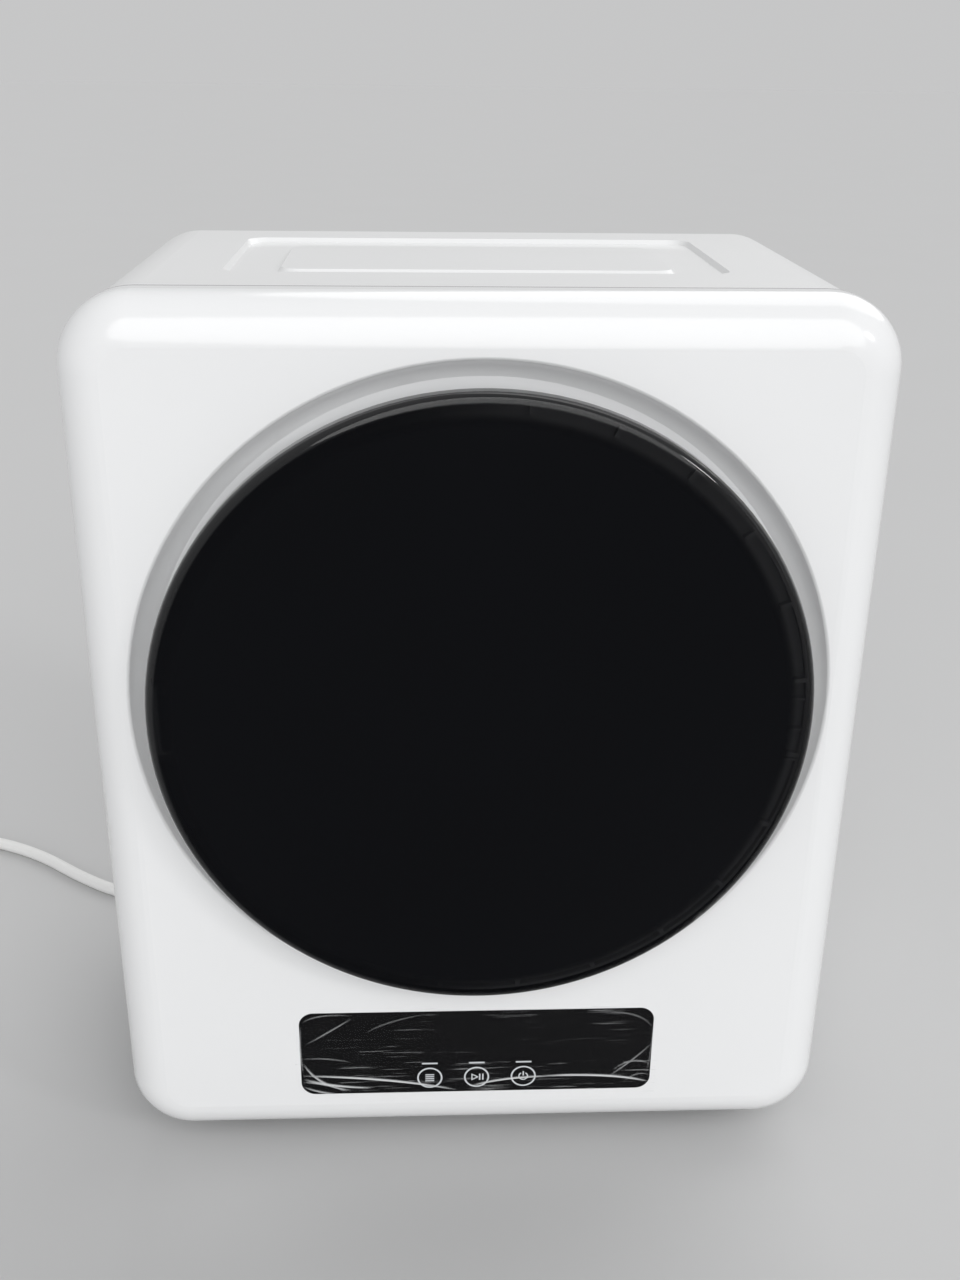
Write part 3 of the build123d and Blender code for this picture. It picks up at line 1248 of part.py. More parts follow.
def biarc(start, start_way, end, end_way):
    """Two arcs that join two places, each tangent to its end's direction and to the other."""
    chord = end - start
    ways = start_way + end_way
    spread = 2 * (1 - start_way.dot(end_way))
    along = chord.dot(ways)
    reach = (math.sqrt(along ** 2 + spread * chord.dot(chord)) - along) / spread
    first, second = start + start_way * reach, end - end_way * reach
    middle = (first + second) * 0.5
    return [
        TangentArc(start, middle, tangent=start_way),
        TangentArc(middle, end, tangent=(second - first).normalized()),
    ]


def arc_chain(places, ways):
    """Biarcs through a row of places, each with its direction."""
    edges = []
    for k in range(len(places) - 1):
        edges = edges + biarc(places[k], ways[k], places[k + 1], ways[k + 1])
    return edges


def coil_end():
    last = coil_point(COIL_TURN)
    return Vector(last.X, last.Y - TAIL_LENGTH, last.Z)


def cord_coil():
    """The put-away length: one unbroken tube wound in two layers."""
    quarter = math.pi / 2
    count = round(COIL_TURN / quarter)
    places = [coil_point(k * quarter) for k in range(count + 1)]
    ways = [coil_heading(k * quarter) for k in range(count + 1)]
    ways[0] = Vector(-1, 0, 0)
    ways[-1] = Vector(0, -1, 0)
    lead_in, tail = Line(coil_start(), places[0]), Line(places[-1], coil_end())
    path = Wire([lead_in] + arc_chain(places, ways) + [tail])
    coil = round_tube(path, CORD_R)
    print("coil length", round(path.length, 1), "least gap", round(least_gap(path, 2 * CORD_R), 2))
    return coil


def least_gap(path, diameter):
    """Least clear space between turns, measured on points along the path."""
    count = 400
    step = path.length / count
    points = [path.position_at(k / count) for k in range(count + 1)]
    skip = int(3 * diameter / step) + 1
    least = 1e9
    for i in range(len(points)):
        for j in range(i + skip, len(points)):
            least = min(least, (points[i] - points[j]).length)
    return least - diameter


def cord_tie():
    """Band round the coil's turns, beside the place where the lead comes in."""
    angle = 120.0
    clear = 0.4
    low, high = COIL_LIFT - clear, coil_z() + COIL_PITCH + CORD_R + clear
    inner = COIL_OUTER_R - 1.5 * COIL_PITCH - CORD_R - clear
    outer = COIL_OUTER_R + CORD_R + clear
    wall = 1.0
    hole = block(inner, outer, -20, 20, low, high)
    band = block(inner - wall, outer + wall, -6, 6, low - wall, high + wall) - hole
    return Pos(COIL_X, COIL_Y, 0) * Rot(0, 0, angle) * band


def mains_plug():
    """Round two-pin plug with earth contacts, lying beside the coil."""
    end = coil_end()
    radius = end.Z
    front = end.Y - PLUG_RELIEF
    sleeve = Plane(origin=(end.X, end.Y, end.Z), x_dir=(1, 0, 0), z_dir=(0, -1, 0))
    relief = loft([sleeve * Circle(CORD_R + 1), sleeve.offset(PLUG_RELIEF) * Circle(2 * CORD_R)])
    body = extrude(sleeve.offset(PLUG_RELIEF) * Circle(radius), amount=PLUG_BODY)
    body = chamfer(body.faces().sort_by(Axis.Y)[-1].edges(), 5)
    for s in (-1, 1):
        flat = block(
            end.X + s * 17.5 - (2.0 if s < 0 else 0), end.X + s * 17.5 + (2.0 if s > 0 else 0),
            front - 32, front - 12, end.Z - 4, end.Z + 4,
        )
        body = body - flat
    return relief + body


def plug_pins():
    end = coil_end()
    face = end.Y - PLUG_RELIEF - PLUG_BODY
    solids = []
    for s in (-1, 1):
        pin = rod(PIN_R, end.X + s * PIN_PITCH / 2, end.Z, face - PIN_LENGTH, face)
        solids.append(fillet(pin.edges().sort_by(Axis.Y)[0], 1.2))
    return group(solids)


NODES = {
    "front_panel": front_panel,
    "cabinet_wrap": cabinet_wrap,
    "base_pan": base_pan,
    "feet": feet,
    "foot_screws": foot_screws,
    "rear_panel": rear_panel,
    "rear_cover": rear_cover,
    "case_screws": case_screws,
    "front_bulkhead": front_bulkhead,
    "drum_felt": drum_felt,
    "rear_felt": rear_felt,
    "control_panel": control_panel,
    "protective_film": protective_film,
    "control_housing": control_housing,
    "control_board": control_board,
    "door_cover": door_cover,
    "door_ring": door_ring,
    "door_inner": door_inner,
    "door_window": door_window,
    "door_seal": door_seal,
    "door_screws": door_screws,
    "hinge_bracket": hinge_bracket,
    "hinge_leaf": hinge_leaf,
    "hinge_pin": hinge_pin,
    "latch_hook": latch_hook,
    "latch_catch": latch_catch,
    "door_switch": door_switch,
    "switch_plunger": switch_plunger,
    "drum_shell": drum_shell,
    "drum_back": drum_back,
    "drum_lifters": drum_lifters,
    "drum_shaft": drum_shaft,
    "bearing_housing": bearing_housing,
    "bearing_bush": bearing_bush,
    "drive_belt": drive_belt,
    "motor_body": motor_body,
    "motor_bracket": motor_bracket,
    "motor_shaft": motor_shaft,
    "motor_pulley": motor_pulley,
    "idler_arm": idler_arm,
    "idler_pin": idler_pin,
    "idler_pulley": idler_pulley,
    "idler_spring": idler_spring,
    "blower_wheel": blower_wheel,
    "blower_housing": blower_housing,
    "exhaust_pipe": exhaust_pipe,
    "exhaust_spigot": exhaust_spigot,
    "lint_duct": lint_duct,
    "lint_frame": lint_frame,
    "lint_mesh": lint_mesh,
    "heater_duct": heater_duct,
    "heater_element": heater_element,
    "thermostats": thermostats,
    "terminal_block": terminal_block,
    "strain_relief": strain_relief,
    "power_cord": power_cord,
    "cord_coil": cord_coil,
    "cord_tie": cord_tie,
    "mains_plug": mains_plug,
    "plug_pins": plug_pins,
}

os.makedirs("parts", exist_ok=True)
for node, make in NODES.items():
    export_step(make(), f"parts/{node}.step")
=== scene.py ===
"""Compact tumble dryer: its finishes, printed keys, loose film and mains lead, in one studio."""

import logging
import math
from dataclasses import dataclass, field
from enum import Enum

import bmesh
import bpy
import numpy as np
from mathutils import Matrix, Vector

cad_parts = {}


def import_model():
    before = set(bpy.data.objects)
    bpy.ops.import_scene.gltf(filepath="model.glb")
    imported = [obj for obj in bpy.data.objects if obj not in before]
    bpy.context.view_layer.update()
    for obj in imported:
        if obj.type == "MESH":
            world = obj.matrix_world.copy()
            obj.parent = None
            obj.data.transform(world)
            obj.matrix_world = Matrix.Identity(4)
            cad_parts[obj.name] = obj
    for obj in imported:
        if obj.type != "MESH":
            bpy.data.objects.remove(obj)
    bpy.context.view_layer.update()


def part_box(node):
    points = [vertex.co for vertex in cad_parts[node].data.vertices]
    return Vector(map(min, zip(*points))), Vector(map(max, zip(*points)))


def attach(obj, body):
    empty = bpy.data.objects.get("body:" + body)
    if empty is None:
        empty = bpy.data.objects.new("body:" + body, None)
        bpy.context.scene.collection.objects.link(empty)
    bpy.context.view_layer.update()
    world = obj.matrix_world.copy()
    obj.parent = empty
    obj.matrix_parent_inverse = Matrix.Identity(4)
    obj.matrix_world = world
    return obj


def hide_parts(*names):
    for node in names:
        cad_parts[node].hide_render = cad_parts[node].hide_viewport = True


LOG = logging.getLogger("dryer")
MM = 0.001
Point = tuple[float, float, float]
Colour = tuple[float, float, float]
Span = tuple[float, float]


class Axis(Enum):
    """A direction in the dryer's frame."""

    WIDTH = 0
    DEPTH = 1
    HEIGHT = 2


# Shader expressions


class Value:
    """A number in a material, which Python expressions can add, scale and compare."""

    def __init__(self, graph: "Graph", socket: bpy.types.NodeSocket) -> None:
        """Keeps the socket and the graph that new nodes go into."""
        self.graph = graph
        self.socket = socket

    def _math(self, operation: str, first: object, second: object = 0.0) -> "Value":
        """Adds a Math node.

        Args:
            operation: the Math node's operation.
            first: a Value or a number.
            second: a Value or a number.

        Returns:
            The node's result.
        """
        node = self.graph.node("ShaderNodeMath", {"operation": operation}, {0: first, 1: second})
        return Value(self.graph, node.outputs[0])

    def __add__(self, other: object) -> "Value":
        """Sum."""
        return self._math("ADD", self, other)

    def __radd__(self, other: object) -> "Value":
        """Sum, from the right."""
        return self._math("ADD", other, self)

    def __sub__(self, other: object) -> "Value":
        """Difference."""
        return self._math("SUBTRACT", self, other)

    def __rsub__(self, other: object) -> "Value":
        """Difference, from the right."""
        return self._math("SUBTRACT", other, self)

    def __mul__(self, other: object) -> "Value":
        """Product."""
        return self._math("MULTIPLY", self, other)

    def __rmul__(self, other: object) -> "Value":
        """Product, from the right."""
        return self._math("MULTIPLY", other, self)

    def root(self) -> "Value":
        """Square root."""
        return self._math("SQRT", self)

    def sine(self) -> "Value":
        """Sine of an angle in radians."""
        return self._math("SINE", self)

    def size(self) -> "Value":
        """The number without its sign."""
        return self._math("ABSOLUTE", self)

    def ramp(self, low: float, high: float) -> "Value":
        """Smooth step.

        Args:
            low: where the result is 0.
            high: where the result is 1, which may be the smaller number.

        Returns:
            A value from 0 to 1.
        """
        settings = {"interpolation_type": "SMOOTHSTEP"}
        node = self.graph.node("ShaderNodeMapRange", settings, {"Value": self, 1: low, 2: high})
        return Value(self.graph, node.outputs[0])


class Graph:
    """The nodes of one material, with a Principled shader at their end."""

    def __init__(self, name: str) -> None:
        """Starts a material.

        Args:
            name: the material's name.
        """
        self.material = bpy.data.materials.new(name)
        self.material.use_nodes = True
        self.tree = self.material.node_tree
        self.shader = self.tree.nodes["Principled BSDF"]
        self.coordinates = self.tree.nodes.new("ShaderNodeTexCoord")

    def node(self, kind: str, settings: dict, sockets: dict) -> bpy.types.Node:
        """Adds any node.

        Args:
            kind: the node's type.
            settings: its properties, which are set first.
            sockets: the values or links of its inputs, by name or number.

        Returns:
            The node.
        """
        made = self.tree.nodes.new(kind)
        for key, value in settings.items():
            setattr(made, key, value)
        for key, value in sockets.items():
            self.feed(made.inputs[key], value)
        return made

    def feed(self, socket: bpy.types.NodeSocket, value: object) -> None:
        """Links or sets one input.

        Args:
            socket: the input.
            value: a Value, a socket, a number or a row of numbers.
        """
        if isinstance(value, Value):
            self.tree.links.new(value.socket, socket)
        elif isinstance(value, bpy.types.NodeSocket):
            self.tree.links.new(value, socket)
        elif isinstance(value, tuple) and len(value) == 3 and socket.type == "RGBA":
            socket.default_value = (*value, 1.0)
        else:
            socket.default_value = value

    def set(self, **sockets: object) -> None:
        """Feeds the shader; a name's underscores stand for spaces."""
        for name, value in sockets.items():
            self.feed(self.shader.inputs[name.replace("_", " ")], value)

    def place(self) -> bpy.types.NodeSocket:
        """Object coordinates in metres."""
        return self.coordinates.outputs["Object"]

    def axes(self, centre: Point = (0.0, 0.0, 0.0)) -> tuple[Value, Value, Value]:
        """Distances in metres from a point along the three axes."""
        parts = self.node("ShaderNodeSeparateXYZ", {}, {0: self.place()})
        return tuple(Value(self, parts.outputs[i]) - centre[i] for i in range(3))

    def stretched(self, factors: Point) -> bpy.types.NodeSocket:
        """Object coordinates multiplied by a factor along each axis."""
        settings = {"operation": "MULTIPLY"}
        node = self.node("ShaderNodeVectorMath", settings, {0: self.place(), 1: factors})
        return node.outputs[0]

    def noise(self, scale: float, detail: float = 3.0, vector: object = None) -> Value:
        """Smooth noise from 0 to 1.

        Args:
            scale: cells per metre.
            detail: octaves.
            vector: coordinates, or None for the piece's own.

        Returns:
            The noise.
        """
        where = self.place() if vector is None else vector
        sockets = {"Vector": where, "Scale": scale, "Detail": detail}
        return Value(self, self.node("ShaderNodeTexNoise", {}, sockets).outputs[0])

    def cells(self, scale: float, feature: str = "F1") -> bpy.types.Node:
        """A Voronoi pattern's node."""
        sockets = {"Vector": self.place(), "Scale": scale}
        return self.node("ShaderNodeTexVoronoi", {"feature": feature}, sockets)

    def mixed(self, share: object, first: object, second: object) -> bpy.types.NodeSocket:
        """Mixes two colours.

        Args:
            share: 0 for the first, 1 for the second.
            first: a colour or a socket.
            second: a colour or a socket.

        Returns:
            The mixed colour.
        """
        node = self.node("ShaderNodeMix", {"data_type": "RGBA"}, {"Factor": share, 6: first, 7: second})
        return node.outputs[2]

    def toned(self, share: object, colour: Colour, shades: Span) -> bpy.types.NodeSocket:
        """One colour, from its darker to its lighter shade.

        Args:
            share: 0 for the first shade, 1 for the second.
            colour: the plain colour.
            shades: factors on it.

        Returns:
            The colour.
        """
        return self.mixed(share, scaled(colour, shades[0]), scaled(colour, shades[1]))

    def radius(self, centre: Point) -> Value:
        """Distance in metres from an axis that runs along the depth through a point."""
        x, _, z = self.axes(centre)
        return (x * x + z * z).root()

    def relief(self, height: Value, distance: float, strength: float = 1.0) -> None:
        """Bends the shader's normal over a height in units of a distance in metres."""
        sockets = {"Height": height, "Distance": distance, "Strength": strength}
        self.set(Normal=self.node("ShaderNodeBump", {}, sockets).outputs[0])


def scaled(colour: Colour, factor: float) -> Colour:
    """A colour made lighter or darker."""
    return tuple(min(1.0, part * factor) for part in colour)


# Finishes


@dataclass(frozen=True)
class PaintedSeamShading:
    """A line across the dryer's depth where two pieces meet, painted lighter than the rest as a highlight on
    an edge, or darker as the shadow in a gap.
    """

    station: float
    width: float
    shade: float
    sharp_share: float = 0.6

    def over(self, graph: Graph, tone: bpy.types.NodeSocket, colour: Colour) -> bpy.types.NodeSocket:
        """Paints the line over a tone: a highlight or a shadow, as its shade sets.

        Args:
            graph: the material's nodes.
            tone: the colour elsewhere.
            colour: the finish's plain colour.

        Returns:
            The colour with the painted line.
        """
        _, y, _ = graph.axes()
        # Painted shadow or highlight: near the meeting line the tone turns to the plain colour times the
        # shade.
        near = (y - self.station).size().ramp(self.width, self.width * self.sharp_share)
        return graph.mixed(near, tone, scaled(colour, self.shade))


@dataclass(frozen=True)
class Moulding:
    """Moulded plastic or enamel: a colour that hardly varies, with a fine skin."""

    name: str
    colour: Colour
    roughness: float
    coat: float = 0.0
    skin_scale: float = 900.0
    skin_depth: float = 0.000006
    waviness: float = 0.00004
    variation: float = 0.015
    dust: float = 0.03
    specular: float = 0.5
    broad_scale: float = 7.0
    wave_scale: float = 26.0
    coat_roughness: float = 0.06
    painted_seam_shading: PaintedSeamShading | None = None

    def material(self) -> bpy.types.Material:
        """Builds the finish."""
        graph = Graph(self.name)
        broad = graph.noise(self.broad_scale, 2.0)
        fine = graph.noise(self.skin_scale, 2.0)
        tone = graph.toned(broad, self.colour, (1 - self.variation, 1 + self.variation))
        # Painted seam shading: a line of shadow or highlight where this piece meets the next.
        if self.painted_seam_shading:
            tone = self.painted_seam_shading.over(graph, tone, self.colour)
        graph.set(Base_Color=tone, Coat_Roughness=self.coat_roughness)
        graph.set(Coat_Weight=self.coat, Specular_IOR_Level=self.specular)
        graph.set(Roughness=self.roughness + broad * self.dust + fine * self.dust)
        waves = graph.noise(self.wave_scale, 1.0)
        graph.relief((fine * self.skin_depth + waves * self.waviness) * (1 / MM), MM)
        return graph.material


@dataclass(frozen=True)
class Brushed:
    """Metal drawn or rolled along one axis."""

    name: str
    colour: Colour
    roughness: float
    along: Axis = Axis.WIDTH
    fineness: float = 1400.0
    stretch: float = 0.02
    shades: Span = (0.86, 1.1)
    stain_scale: float = 18.0
    stain_share: float = 0.3
    stain_shade: float = 0.8
    groove: float = 0.02 * MM

    def material(self) -> bpy.types.Material:
        """Builds the finish."""
        graph = Graph(self.name)
        factors = [1.0, 1.0, 1.0]
        factors[self.along.value] = self.stretch
        lines = graph.noise(self.fineness, 3.0, graph.stretched(tuple(factors)))
        stain = graph.noise(self.stain_scale)
        tone = graph.toned(lines, self.colour, self.shades)
        stained = graph.mixed(stain * self.stain_share, tone, scaled(self.colour, self.stain_shade))
        graph.set(Metallic=1.0, Base_Color=stained)
        graph.set(Roughness=self.roughness + lines * 0.16 + stain * 0.06)
        graph.relief(lines, self.groove, 0.6)
        return graph.material


@dataclass(frozen=True)
class Turned:
    """Metal brushed round an axis along the dryer's depth."""

    name: str
    colour: Colour
    roughness: float
    centre: Point
    fineness: float = 900.0
    shades: Span = (0.88, 1.08)
    groove: float = 0.02 * MM

    def material(self) -> bpy.types.Material:
        """Builds the finish."""
        graph = Graph(self.name)
        outwards = graph.radius(self.centre) * self.fineness
        along = graph.axes(self.centre)[Axis.DEPTH.value] * self.fineness
        rings = graph.node("ShaderNodeCombineXYZ", {}, {0: outwards, 1: along, 2: 0.0})
        lines = graph.noise(1.0, 3.0, rings.outputs[0])
        graph.set(Metallic=1.0, Base_Color=graph.toned(lines, self.colour, self.shades))
        graph.set(Roughness=self.roughness + lines * 0.14)
        graph.relief(lines, self.groove, 0.5)
        return graph.material


@dataclass(frozen=True)
class Spangled:
    """Zinc-coated sheet with its crystals."""

    name: str
    colour: Colour
    crystal: float = 130.0
    shades: Span = (0.8, 1.1)
    dent_scale: float = 60.0
    dent_depth: float = 0.08 * MM

    def material(self) -> bpy.types.Material:
        """Builds the finish."""
        graph = Graph(self.name)
        cells = graph.cells(self.crystal)
        tint = graph.node("ShaderNodeSeparateColor", {}, {0: cells.outputs["Color"]})
        share = Value(graph, tint.outputs[0])
        graph.set(Metallic=1.0, Base_Color=graph.toned(share, self.colour, self.shades))
        graph.set(Roughness=0.34 + share * 0.2)
        graph.relief(graph.noise(self.dent_scale), self.dent_depth, 0.3)
        return graph.material


@dataclass(frozen=True)
class TintedDome:
    """Dark tinted cover: the clips behind it show only near its rim, and most at its grip."""

    name: str
    centre: Point
    clear_from: float
    clear_to: float
    colour: Colour = (0.0008, 0.001, 0.0018)
    see_through: Span = (0.12, 0.5)
    see_through_from: Span = (-0.12, 0.04)
    fade_in: float = 8.0 * MM
    fade_out: float = 3.0 * MM
    coated_from: Span = (5.0 * MM, 3.0 * MM)
    specular: float = 0.1
    gloss: float = 0.1
    ripple: float = 0.12 * MM

    def material(self) -> bpy.types.Material:
        """Builds the finish."""
        graph = Graph(self.name)
        radius = graph.radius(self.centre)
        band = radius.ramp(self.clear_from, self.clear_from + self.fade_in)
        band = band * radius.ramp(self.clear_to, self.clear_to - self.fade_out)
        hinge_side, grip_side = self.see_through
        across = graph.axes(self.centre)[Axis.WIDTH.value].ramp(*self.see_through_from)
        seen = across * (grip_side - hinge_side) + hinge_side
        smears = graph.noise(9.0, 4.0)
        graph.set(Base_Color=graph.toned(smears, self.colour, (1.0, 1.5)))
        graph.set(Roughness=self.gloss + smears.ramp(0.5, 0.8) * 0.06)
        graph.set(Alpha=1.0 - band * seen, Specular_IOR_Level=self.specular, Coat_Roughness=0.03)
        start, full = (self.clear_to - step for step in self.coated_from)
        graph.set(Coat_Weight=radius.ramp(start, full))
        graph.relief(graph.noise(16.0, 1.0), self.ripple, 0.15)
        return graph.material


@dataclass(frozen=True)
class Clear:
    """Clear moulded plastic or nylon."""

    name: str
    colour: Colour
    opacity: float
    roughness: float = 0.06

    def material(self) -> bpy.types.Material:
        """Builds the finish."""
        graph = Graph(self.name)
        haze = graph.noise(20.0)
        graph.set(Base_Color=graph.toned(haze, self.colour, (1.0, 0.9)))
        graph.set(Alpha=self.opacity + haze * 0.06, Roughness=self.roughness + haze * 0.04)
        return graph.material


@dataclass(frozen=True)
class CreasedFilm:
    """Thin clear film, painted white along its creases as the highlight they catch, and streaked where it was
    pulled.
    """

    name: str
    crease: str
    colour: Colour = (0.86, 0.87, 0.88)
    streak_scale: float = 620.0
    pull: Point = (0.035, 1.0, 1.0)
    drift_scale: float = 26.0
    haze: float = 0.003
    streak_haze: float = 0.2
    painted_crease_highlight: float = 0.8
    ripple: float = 0.1 * MM

    def material(self) -> bpy.types.Material:
        """Builds the finish."""
        graph = Graph(self.name)
        folded = graph.node("ShaderNodeAttribute", {"attribute_name": self.crease}, {})
        crease = Value(graph, folded.outputs["Fac"])
        pulled = graph.noise(self.streak_scale, 2.0, graph.stretched(self.pull))
        drift = graph.noise(self.drift_scale, 2.0)
        streak = pulled.ramp(0.6, 0.72) * drift.ramp(0.42, 0.62)
        graph.set(Base_Color=self.colour, Roughness=0.2 + streak * 0.2)
        haze = self.haze + streak * self.streak_haze
        # Painted highlight: the film turns nearly opaque white along its creases.
        graph.set(Alpha=haze + crease.ramp(0.15, 0.95) * self.painted_crease_highlight)
        graph.relief(pulled + drift * 3.0, self.ripple, 0.3)
        return graph.material


@dataclass(frozen=True)
class Felt:
    """Pressed wool."""

    name: str
    colour: Colour
    fibre_scale: float = 2200.0
    clump_scale: float = 160.0
    nap: float = 0.4 * MM

    def material(self) -> bpy.types.Material:
        """Builds the finish."""
        graph = Graph(self.name)
        fibres = graph.noise(self.fibre_scale, 4.0, graph.stretched((1.0, 0.3, 1.0)))
        clumps = graph.noise(self.clump_scale)
        graph.set(Base_Color=graph.toned(fibres, self.colour, (0.6, 1.2)))
        graph.set(Roughness=0.93, Sheen_Weight=0.4)
        graph.relief(fibres + clumps, self.nap, 0.8)
        return graph.material


@dataclass(frozen=True)
class Knit:
    """Fine mesh: threads with open squares between them."""

    name: str
    colour: Colour
    pitch: float = 1.6 * MM
    hole: Span = (0.55, 0.8)
    hole_haze: float = 0.25
    thread_height: float = 0.2 * MM

    def material(self) -> bpy.types.Material:
        """Builds the finish."""
        graph = Graph(self.name)
        x, _, z = graph.axes()
        turn = 2 * math.pi / self.pitch
        across, along = ((place * turn).sine().size().ramp(*self.hole) for place in (x, z))
        thread = 1.0 - across * along
        graph.set(Base_Color=graph.toned(thread, self.colour, (0.7, 1.0)))
        graph.set(Roughness=0.55, Alpha=self.hole_haze + thread * (1 - self.hole_haze))
        graph.relief(thread, self.thread_height, 0.7)
        return graph.material


@dataclass(frozen=True)
class CircuitBoard:
    """Green lacquered board with pale tracks."""

    name: str
    lacquer: Colour = (0.015, 0.09, 0.035)
    copper: Colour = (0.06, 0.2, 0.07)
    track_scale: float = 260.0
    track_height: float = 0.04 * MM

    def material(self) -> bpy.types.Material:
        """Builds the finish."""
        graph = Graph(self.name)
        edges = graph.cells(self.track_scale, "DISTANCE_TO_EDGE")
        track = Value(graph, edges.outputs["Distance"]).ramp(0.07, 0.04)
        graph.set(Base_Color=graph.mixed(track, self.lacquer, self.copper))
        graph.set(Roughness=0.34 - track * 0.08)
        graph.relief(track, self.track_height)
        return graph.material


def dress(node: str, material: bpy.types.Material) -> None:
    """Gives a CAD node its finish.

    Args:
        node: the node's name.
        material: the finish.
    """
    piece = bpy.data.objects[node]
    piece.data.materials.clear()
    piece.data.materials.append(material)
    LOG.info("dressed %s", node)


# Modelling


def clear_selection() -> None:
    """Deselects every object, before a primitive is added."""
    for other in bpy.context.selected_objects:
        other.select_set(False)


def only(*pieces: bpy.types.Object) -> None:
    """Selects these objects alone and makes the last one active."""
    clear_selection()
    for piece in pieces:
        piece.select_set(True)
    bpy.context.view_layer.objects.active = pieces[-1]


def joined(*pieces: bpy.types.Object) -> bpy.types.Object:
    """Joins objects to the last of them, which it returns."""
    only(*pieces)
    if len(pieces) > 1:
        bpy.ops.object.join()
    return pieces[-1]


def applied(piece: bpy.types.Object) -> bpy.types.Object:
    """Moves an object's place, turn and scale into its mesh."""
    only(piece)
    bpy.ops.object.transform_apply(location=True, rotation=True, scale=True)
    return piece


def outline(sides: int, radius: float, line: float) -> bpy.types.Object:
    """A flat ring or polygon of one line's width, drawn in its own XY plane.

    Args:
        sides: its number of sides.
        radius: to its outer corners.
        line: the width of its line.

    Returns:
        The outline.
    """
    clear_selection()
    bpy.ops.mesh.primitive_circle_add(vertices=sides, radius=radius, fill_type="NGON")
    piece = bpy.context.object
    bpy.ops.object.mode_set(mode="EDIT")
    bpy.ops.mesh.inset(thickness=line)
    bpy.ops.mesh.delete(type="FACE")
    bpy.ops.object.mode_set(mode="OBJECT")
    return piece


def bars(places: list[tuple[float, float, float, float]]) -> bpy.types.Object:
    """Flat bars as one mesh, drawn in its own XY plane.

    Args:
        places: middle x, middle y, width and height of each bar.

    Returns:
        The bars.
    """
    parts = []
    for x, y, width, height in places:
        clear_selection()
        bpy.ops.mesh.primitive_plane_add(size=1.0, location=(x, y, 0.0))
        part = bpy.context.object
        part.scale = (width, height, 1.0)
        parts.append(applied(part))
    return joined(*parts)


def middle_of(node: str) -> Point:
    """The middle of a CAD node's box."""
    low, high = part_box(node)
    return ((low + high) / 2).to_tuple()


def settle(piece: bpy.types.Object, name: str) -> bpy.types.Object:
    """Names a piece and applies its modifiers and its place.

    Args:
        piece: the object.
        name: its name.

    Returns:
        The same object, at the origin.
    """
    piece.name = name
    piece.data.name = name
    only(piece)
    for modifier in list(piece.modifiers):
        bpy.ops.object.modifier_apply(modifier=modifier.name)
    return applied(piece)


